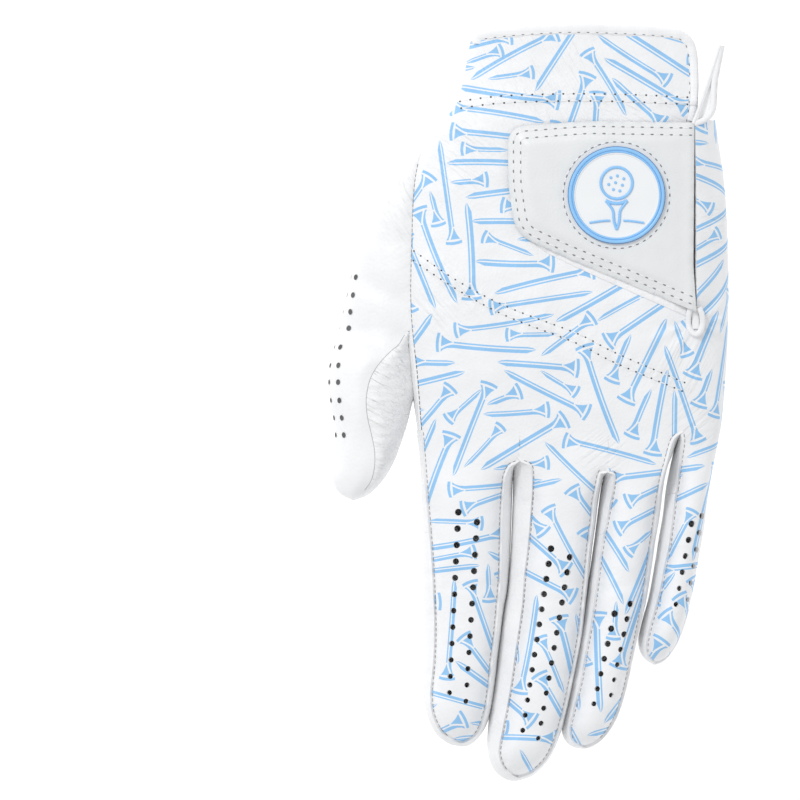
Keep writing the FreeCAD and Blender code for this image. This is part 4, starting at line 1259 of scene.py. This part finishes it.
centre_z = float(tab_top(np.array([BADGE[0]]), np.array([BADGE[1] + 1.0]))[0])
right_z, left_z = (tab_top(np.array([BADGE[0] + dx]), np.array([BADGE[1]])) for dx in (10.0, -10.0))
slope_x = float((right_z - left_z)[0]) / 20


def badge_plane(x, y):
    """Height of the badge's underside. It leans and curves across the tab only, so y isn't used."""
    return centre_z + 0.1 + slope_x * (x - BADGE[0]) - 0.0016 * (x - BADGE[0]) ** 2


R = BADGE_R
MOTIF_LIFT = 0.62
BALL_R, BALL_UP = 4.4, 3.4
base_profile = [(0.01, -0.8), (R - 0.1, -0.8), (R, -0.6), (R, 0.45), (R - 0.15, 0.62), (R - 0.4, 0.7), (R - 1.9, 0.7),
                (R - 2.1, 0.5), (9.0, 0.48), (5.0, 0.5), (0.01, 0.52)]
badge_base = turned("badge_base_moulding", base_profile, BADGE, badge_plane, BADGE_WHITE)
# a thin dark blue ring round the badge's side: painted shade of its edge
rim_profile = [(R - 0.3, -0.6), (R + 0.14, -0.6), (R + 0.16, 0.6), (R + 0.02, 0.86), (R - 0.3, 0.8)]
ring_profile = [(R - 0.02, 0.5), (R - 0.04, 0.95), (R - 0.22, 1.18), (R - 0.5, 1.24), (R - 0.8, 1.14),
                (R - 0.98, 0.92), (R - 1.0, 0.5)]
ridge_profile = [(R - 1.02, 0.5), (R - 1.04, 0.84), (R - 1.2, 1.0), (R - 1.45, 0.98), (R - 1.6, 0.8), (R - 1.62, 0.5)]
badge_shade_rim = turned("badge_shade_rim", rim_profile + rim_profile[:1], BADGE, badge_plane, BADGE_SHADE_RIM)
badge_ring = turned("badge_ring_outer", ring_profile + ring_profile[:1], BADGE, badge_plane, BADGE_BLUE)
badge_ridge = turned("badge_ring_inner", ridge_profile + ridge_profile[:1], BADGE, badge_plane, BADGE_BLUE)
for obj in (badge_base, badge_shade_rim, badge_ring, badge_ridge):
    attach(obj, "closure_tab")
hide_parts("badge_base")
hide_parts("badge_ring")


def raised_line(name, points, width, closed=False):
    """A raised blue line of the badge's motif."""
    line = resampled(smooth_line(points, 0.35, closed), 60 if not closed else 72)
    if closed:
        line = line[:-1]
    path = np.column_stack([line, badge_plane(line[:, 0], line[:, 1]) + MOTIF_LIFT])
    obj = swept(name, path, oval(width, 0.8, 10, 2.0), BADGE_BLUE, closed=closed)
    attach(obj, "closure_tab")
    return obj


bx, by = BADGE
ball = [(bx + BALL_R * math.cos(a), by + BALL_UP + BALL_R * math.sin(a))
        for a in np.linspace(0, 2 * math.pi, 25)[:-1]]
motif = raised_line("badge_ball_outline", ball, 0.8, True)
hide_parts("badge_motif")
for k, (dx, dy) in enumerate([(-1.6, 1.5), (0.2, 2.0), (2.0, 1.2), (-2.2, -0.4), (-0.3, 0.1), (1.6, -0.6),
                              (-0.9, -1.8), (0.9, -2.2)]):
    dot = turned(f"badge_dimple_{k + 1}", [(0.42, 0.4), (0.42, 0.66), (0.30, 0.82), (0.01, 0.86)],
                 (bx + dx, by + BALL_UP + dy), badge_plane, BADGE_BLUE, 18)
    fixed_to("closure_tab", dot)
TEE_SIDE = [(3.0, -1.6), (1.7, -3.2), (0.95, -4.6), (0.7, -7.4), (0.0, -9.6)]
GROUND = [(7.6, -7.7), (4.0, -7.2), (1.9, -7.1)]
for name, points, width in (
        ("badge_tee_cup", [(-3.0, -1.5), (-1.6, -2.1), (0.0, -2.3), (1.6, -2.1), (3.0, -1.5)], 0.9),
        ("badge_tee_left", [(-dx, dy) for dx, dy in TEE_SIDE], 0.75),
        ("badge_tee_right", TEE_SIDE, 0.75),
        ("badge_ground_line", [(-dx, dy) for dx, dy in GROUND], 0.6),
        ("badge_ground_line_right", GROUND[::-1], 0.6)):
    raised_line(name, [(bx + dx, by + dy) for dx, dy in points], width)


# ---- sewing ----
def surface(*objects, below=False):
    """Height in plan of the highest of these pieces' surfaces, or seen from below of the lowest."""
    trees = [bvhtree.BVHTree.FromPolygons([v.co for v in o.data.vertices],
                                          [tuple(p.vertices) for p in o.data.polygons])
             for o in objects]

    def height(x, y):
        x, y = np.ravel(np.asarray(x, float)), np.ravel(np.asarray(y, float))
        out = np.full(len(x), np.nan)
        for i, p in enumerate(placed(np.column_stack([x, y, np.full(len(x), -60.0 if below else 60.0)]))):
            hits = [tree.ray_cast(Vector(p), Vector((0, 0, 1 if below else -1)))[0] for tree in trees]
            hits = [h.z * 1000 for h in hits if h]
            if hits:
                out[i] = min(hits) if below else max(hits)
        known = ~np.isnan(out)
        if known.any() and not known.all():
            out[~known] = np.interp(np.flatnonzero(~known), np.flatnonzero(known), out[known])
        return out
    return height


def stations(line, pitch):
    """Evenly spaced places along a line, and a function that gives the point at a length along it."""
    line = np.array(line)
    s = np.concatenate([[0], np.cumsum(np.linalg.norm(np.diff(line, axis=0), axis=1))])
    count = max(2, int(round(s[-1] / pitch)))

    def at(t):
        return np.stack([np.interp(t, s, line[:, 0]), np.interp(t, s, line[:, 1])], -1)
    return np.linspace(0, s[-1], count + 1), at


def direction(at, t):
    d = at(t + 0.2) - at(t - 0.2)
    d = d / max(np.linalg.norm(d), 1e-9)
    return d, np.array([-d[1], d[0]])


def dashes(name, line, pitch, height, material, long, wide, lift=0.05):
    """Small flat marks laid on a surface along a line: painted shade of needle holes, or painted shade between
    stitches.
    """
    marks, at = stations(line, pitch)
    plan, faces = [], []
    turns = np.linspace(0, 2 * math.pi, 9)[:-1]
    for t in marks:
        d, across = direction(at, t)
        n = len(plan)
        plan.append(at(t))
        plan.extend(at(t) + d * long * math.cos(a) + across * wide * math.sin(a) for a in turns)
        faces += [(n, n + 1 + j, n + 1 + (j + 1) % 8) for j in range(8)]
    plan = np.array(plan)
    return make_object(name, np.column_stack([plan, height(plan[:, 0], plan[:, 1]) + lift]), faces, [material],
                       sharp=0)


STITCH_WIDTH, STITCH_RISE, STITCH_GAP = 0.34, 0.12, 0.3
STITCH_RINGS, STITCH_SIDES = 6, 7


def stitches(name, line, pitch, height):
    """A row of thread stitches, each arched between its needle holes."""
    marks, at = stations(line, pitch)
    rings, sides = STITCH_RINGS, STITCH_SIDES
    turns = np.linspace(0, 2 * math.pi, sides + 1)[:-1]
    u = np.linspace(0, 1, rings)
    centres = np.concatenate([at(a + STITCH_GAP + (b - a - 2 * STITCH_GAP) * u) for a, b in zip(marks, marks[1:])])
    z = height(centres[:, 0], centres[:, 1])
    points, faces = [], []
    for i, (c, h) in enumerate(zip(centres, z)):
        k = i % rings
        across = direction(at, marks[i // rings] + pitch * (k + 0.5) / rings)[1]
        size = STITCH_WIDTH / 2 * (0.45 + 0.55 * math.sin(math.pi * u[k]) ** 0.6)
        lift = STITCH_RISE * math.sin(math.pi * u[k]) - 0.1
        points.extend([*(c + across * math.cos(a) * size), h + lift + math.sin(a) * size] for a in turns)
    strip = grid_faces(rings, sides, closed=True)
    for i in range(len(marks) - 1):
        first, last = i * rings * sides, i * rings * sides + (rings - 1) * sides
        faces += [tuple(f + first) for f in strip]
        faces += [tuple(first + j for j in range(sides))[::-1], tuple(last + j for j in range(sides))]
    return make_object(name, np.array(points), faces, [THREAD], sharp=0)


def sewn(name, line, pitch, height, body, mark, long, wide):
    """A row of stitches with flat marks of painted shade at their needle holes, fixed to a body."""
    fixed_to(body, stitches(name + "_thread", line, pitch, height))
    fixed_to(body, dashes(name + "_needle_shade_marks", line, pitch, height, mark, long, wide))


back_surface = surface(hand_back)
tab_surface = surface(tab)
binding_surface = surface(hand_back, binding)
# the needle marks of these rows are flat discs and dashes of painted shade, not holes
for k, row in enumerate(CUFF_ROWS):
    sewn(f"cuff_stitch_{k + 1}", row[(row[:, 0] > -19.6) & (row[:, 0] < 44.4)], 2.95, back_surface, "hand", DEEP_SHADE,
         0.30, 0.27)
for k, row in enumerate(KNUCKLE_ROWS):
    sewn(f"knuckle_stitch_{k + 1}", row, 2.35, back_surface, "hand", DEEP_SHADE, 0.28, 0.24)
for k, row in enumerate(TAB_ROWS):
    sewn(f"tab_stitch_{k + 1}", row, 2.7, tab_surface, "closure_tab", SOFT_SHADE, 0.50, 0.20)
round_row = [(BADGE[0] + BADGE_STITCH_R * math.cos(a), BADGE[1] + BADGE_STITCH_R * math.sin(a))
             for a in np.linspace(0, 2 * math.pi, 90)]
sewn("badge_stitch", round_row, 2.2, tab_surface, "closure_tab", SOFT_SHADE, 0.55, 0.18)
binding_row = inset(CUFF_EDGE, 2.35)
sewn("binding_stitch", binding_row[binding_row[:, 0] > -12.5], 2.6, binding_surface, "hand", SOFT_SHADE, 0.42, 0.13)


SEAM_INSET = 0.12


def along_seam(f, side):
    """The edge of a finger's printed leather below the crotch, a little inside it."""
    line = np.array(f[side + "_line"])
    y = line[:, 1]
    line = line[(y < f["outer_" + side][0][1] - 1.0) & (y > f["tip"][1] + 3.0)]
    return line + np.array([SEAM_INSET if side == "left" else -SEAM_INSET, 0.0])


# dark dashes just inside each finger's printed edges: painted shade of the seam's groove
for name, f in FINGERS.items():
    for side in ("left", "right"):
        if (name, side) == ("little", "right"):
            continue
        seam = along_seam(f, side)
        for part, keep, joint in (("", seam[:, 1] > f["split"], ("hand", name + "_base", f["knuckle"])),
                                  ("_tip", seam[:, 1] <= f["split"], (name + "_base", name + "_tip", f["joint"]))):
            leather = surface(bpy.data.objects[f"{name}{part}_back_leather"])
            obj = dashes(f"{name}{part}_{side}_seam_thread", seam[keep], 1.5, leather, SEAM_SHADE, 0.58, 0.10, 0.03)
            bending(obj, *joint, f["direction"], FINGER_REACH, FINGER_REACH)

# dark dashes along the printed leather's left edge, painted shade of that seam: near-black by the index finger, dark
# grey by the thumb
for part, y_from, y_to, shade in (("index_edge", 14.0, HAND_EDGE_Y, DEEP_SHADE), ("thumb_edge", 66.0, 14.8, SEAM_SHADE)):
    edge_seam = np.array([(float(BACK_SEAM(y)) + SEAM_INSET, y) for y in np.arange(y_from, y_to, -0.8)])
    fixed_to("hand", dashes(f"{part}_seam_thread", edge_seam, 1.4, back_surface, shade, 0.64, 0.11, 0.03))

# a thin pale-grey tube along the thumb's seam, painted shade of the soft crease there
THUMB_SEAM_SHADE_WIDTH = 0.22
for part, y_from, y_to, joint in (("", 18.6, THUMB_SPLIT, THUMB_BASE), ("_tip", THUMB_SPLIT, -25.5, THUMB_TIP)):
    path = [thumb_seam_point(y) + [0.06, 0, 0.02] for y in np.arange(y_from, y_to - 0.1, -0.8)]
    profile = oval(THUMB_SEAM_SHADE_WIDTH, THUMB_SEAM_SHADE_WIDTH * 0.8, 8, 2.0)
    bending(swept(f"thumb{part}_seam_thread", path, profile, PALE_SHADE), *joint)


# ---- seams on the palm ----
palm_face = surface(palm, below=True)
PALM_THUMB_SEAM = smooth_line([(-32.0, 18.5), (-28.6, 23.0), (-24.8, 32.0), (-23.6, 43.0), (-25.2, 54.0),
                               (-28.2, 63.0), (-29.6, 69.0)], 0.8)
PALM_HEM = np.array([(x, 94.6) for x in np.arange(-11.5, 45.6, 0.8)])
for name, line, wide in (("palm_thumb_seam", PALM_THUMB_SEAM, 1.5), ("palm_hem", PALM_HEM, 0.0)):
    if wide:
        z = palm_face(line[:, 0], line[:, 1])
        fixed_to("hand", swept(name + "_fold", np.column_stack([line, z + 0.12]), oval(wide, 0.7), PALM))
    # the dashes beside each palm seam are painted shade of its needle marks
    for side, offset in (("left", -1.3), ("right", 1.3)):
        fixed_to("hand", dashes(f"{name}_thread_{side}", inset(line, offset), 1.9, palm_face, SEAM_SHADE, 0.66, 0.16,
                                -0.05))


# ---- the thumb's perforations: flat discs of painted shade ----
def punched(name, rows, places, material):
    """Round dark marks lying on a sheet made from rows, painted shade standing for holes. places are (x, y, shift along
    the row, radius).
    """
    rows = np.array(rows)
    runs = [np.concatenate([[0], np.cumsum(np.linalg.norm(np.diff(r, axis=0), axis=1))]) for r in rows]
    runs = [r - r[-1] for r in runs]

    def on_sheet(y, t):
        i = float(np.interp(-y, -rows[:, 0, 1], np.arange(len(rows))))
        k = min(int(i), len(rows) - 2)
        a, b = (np.array([np.interp(t, runs[m], rows[m][:, c]) for c in range(3)]) for m in (k, k + 1))
        return a + (b - a) * (i - k)

    sides = 14
    points, faces = [], []
    for x, y, shift, radius in places:
        i = int(np.argmin(np.abs(rows[:, 0, 1] - y)))
        t = float(np.interp(-x, -rows[i][:14, 0], runs[i][:14])) + shift
        normal = np.cross(on_sheet(y, t + 0.7) - on_sheet(y, t - 0.7), on_sheet(y + 0.7, t) - on_sheet(y - 0.7, t))
        normal /= np.linalg.norm(normal)
        if normal @ np.array([-0.7, 0, 1.0]) < 0:
            normal = -normal
        n = len(points)
        along = on_sheet(y + 0.7, t) - on_sheet(y - 0.7, t)
        along /= np.linalg.norm(along)
        across = np.cross(normal, along)
        centre = on_sheet(y, t)
        points.append(centre + normal * 0.05)
        points.extend(centre + radius * (along * math.sin(a) + across * math.cos(a)) + normal * 0.14
                      for a in np.linspace(0, 2 * math.pi, sides + 1)[:-1])
        faces += [(n, n + 1 + k, n + 1 + (k + 1) % sides) for k in range(sides)]
    return make_object(name, np.array(points), faces, [material], sharp=0)


for part, rows, keep, joint in (("", thumb_base_rows, lambda y: y > THUMB_SPLIT, THUMB_BASE),
                                ("_tip", thumb_tip_rows, lambda y: y <= THUMB_SPLIT, THUMB_TIP)):
    places = [(x, y, shift, 0.8 - 0.1 * (shift > 0)) for x, y in THUMB_HOLES for shift in (0.0, 4.8) if keep(y)]
    bending(punched(f"thumb{part}_perforations", rows, places, PERFORATION_SHADE), *joint)


# ---- camera, light and floor ----
def area_light(name, energy, size, place, aim):
    light = bpy.data.lights.new(name, "AREA")
    light.energy = energy
    light.size = size
    obj = bpy.data.objects.new(name, light)
    bpy.context.scene.collection.objects.link(obj)
    obj.location = place
    obj.rotation_euler = (Vector(aim) - Vector(place)).to_track_quat("-Z", "Y").to_euler()


camera_data = bpy.data.cameras.new("camera")
camera = bpy.data.objects.new("camera", camera_data)
bpy.context.scene.collection.objects.link(camera)
VIEW_WIDTH, DISTANCE = 0.224, 5.0
camera_data.lens = camera_data.sensor_width * DISTANCE / VIEW_WIDTH
view = spot(-36.3, 0.4, 0.0)
camera.location = (view[0], view[1], DISTANCE + 0.012)
bpy.context.scene.camera = camera
area_light("key", 36.0, 0.8, (-1.3, 1.5, 2.3), (0, 0, 0))
area_light("fill", 5.0, 1.5, (1.8, -0.9, 2.0), (0, 0, 0))
world = bpy.data.worlds.new("studio")
world.use_nodes = True
world.node_tree.nodes["Background"].inputs["Color"].default_value = (1, 1, 1, 1)
world.node_tree.nodes["Background"].inputs["Strength"].default_value = 0.715
bpy.context.scene.world = world
bpy.context.scene.view_settings.view_transform = "Standard"

# the floor lies far enough below the glove for the bent fingers to show in every pose
FLOOR_HALF, FLOOR_Z = 3, -0.1
floor_mesh = bpy.data.meshes.new("floor")
floor_corners = [(x * FLOOR_HALF, y * FLOOR_HALF, FLOOR_Z) for x, y in ((-1, -1), (1, -1), (1, 1), (-1, 1))]
floor_mesh.from_pydata(floor_corners, [], [(0, 1, 2, 3)])
floor_paper = material("floor_paper", (0.93, 0.93, 0.93), 0.9, mottle=0.01)
paper_inputs = floor_paper.node_tree.nodes["Principled BSDF"].inputs
paper_inputs["Emission Color"].default_value = (1, 1, 1, 1)
paper_inputs["Emission Strength"].default_value = 0.31
floor_mesh.materials.append(floor_paper)
floor = bpy.data.objects.new("floor", floor_mesh)
bpy.context.scene.collection.objects.link(floor)
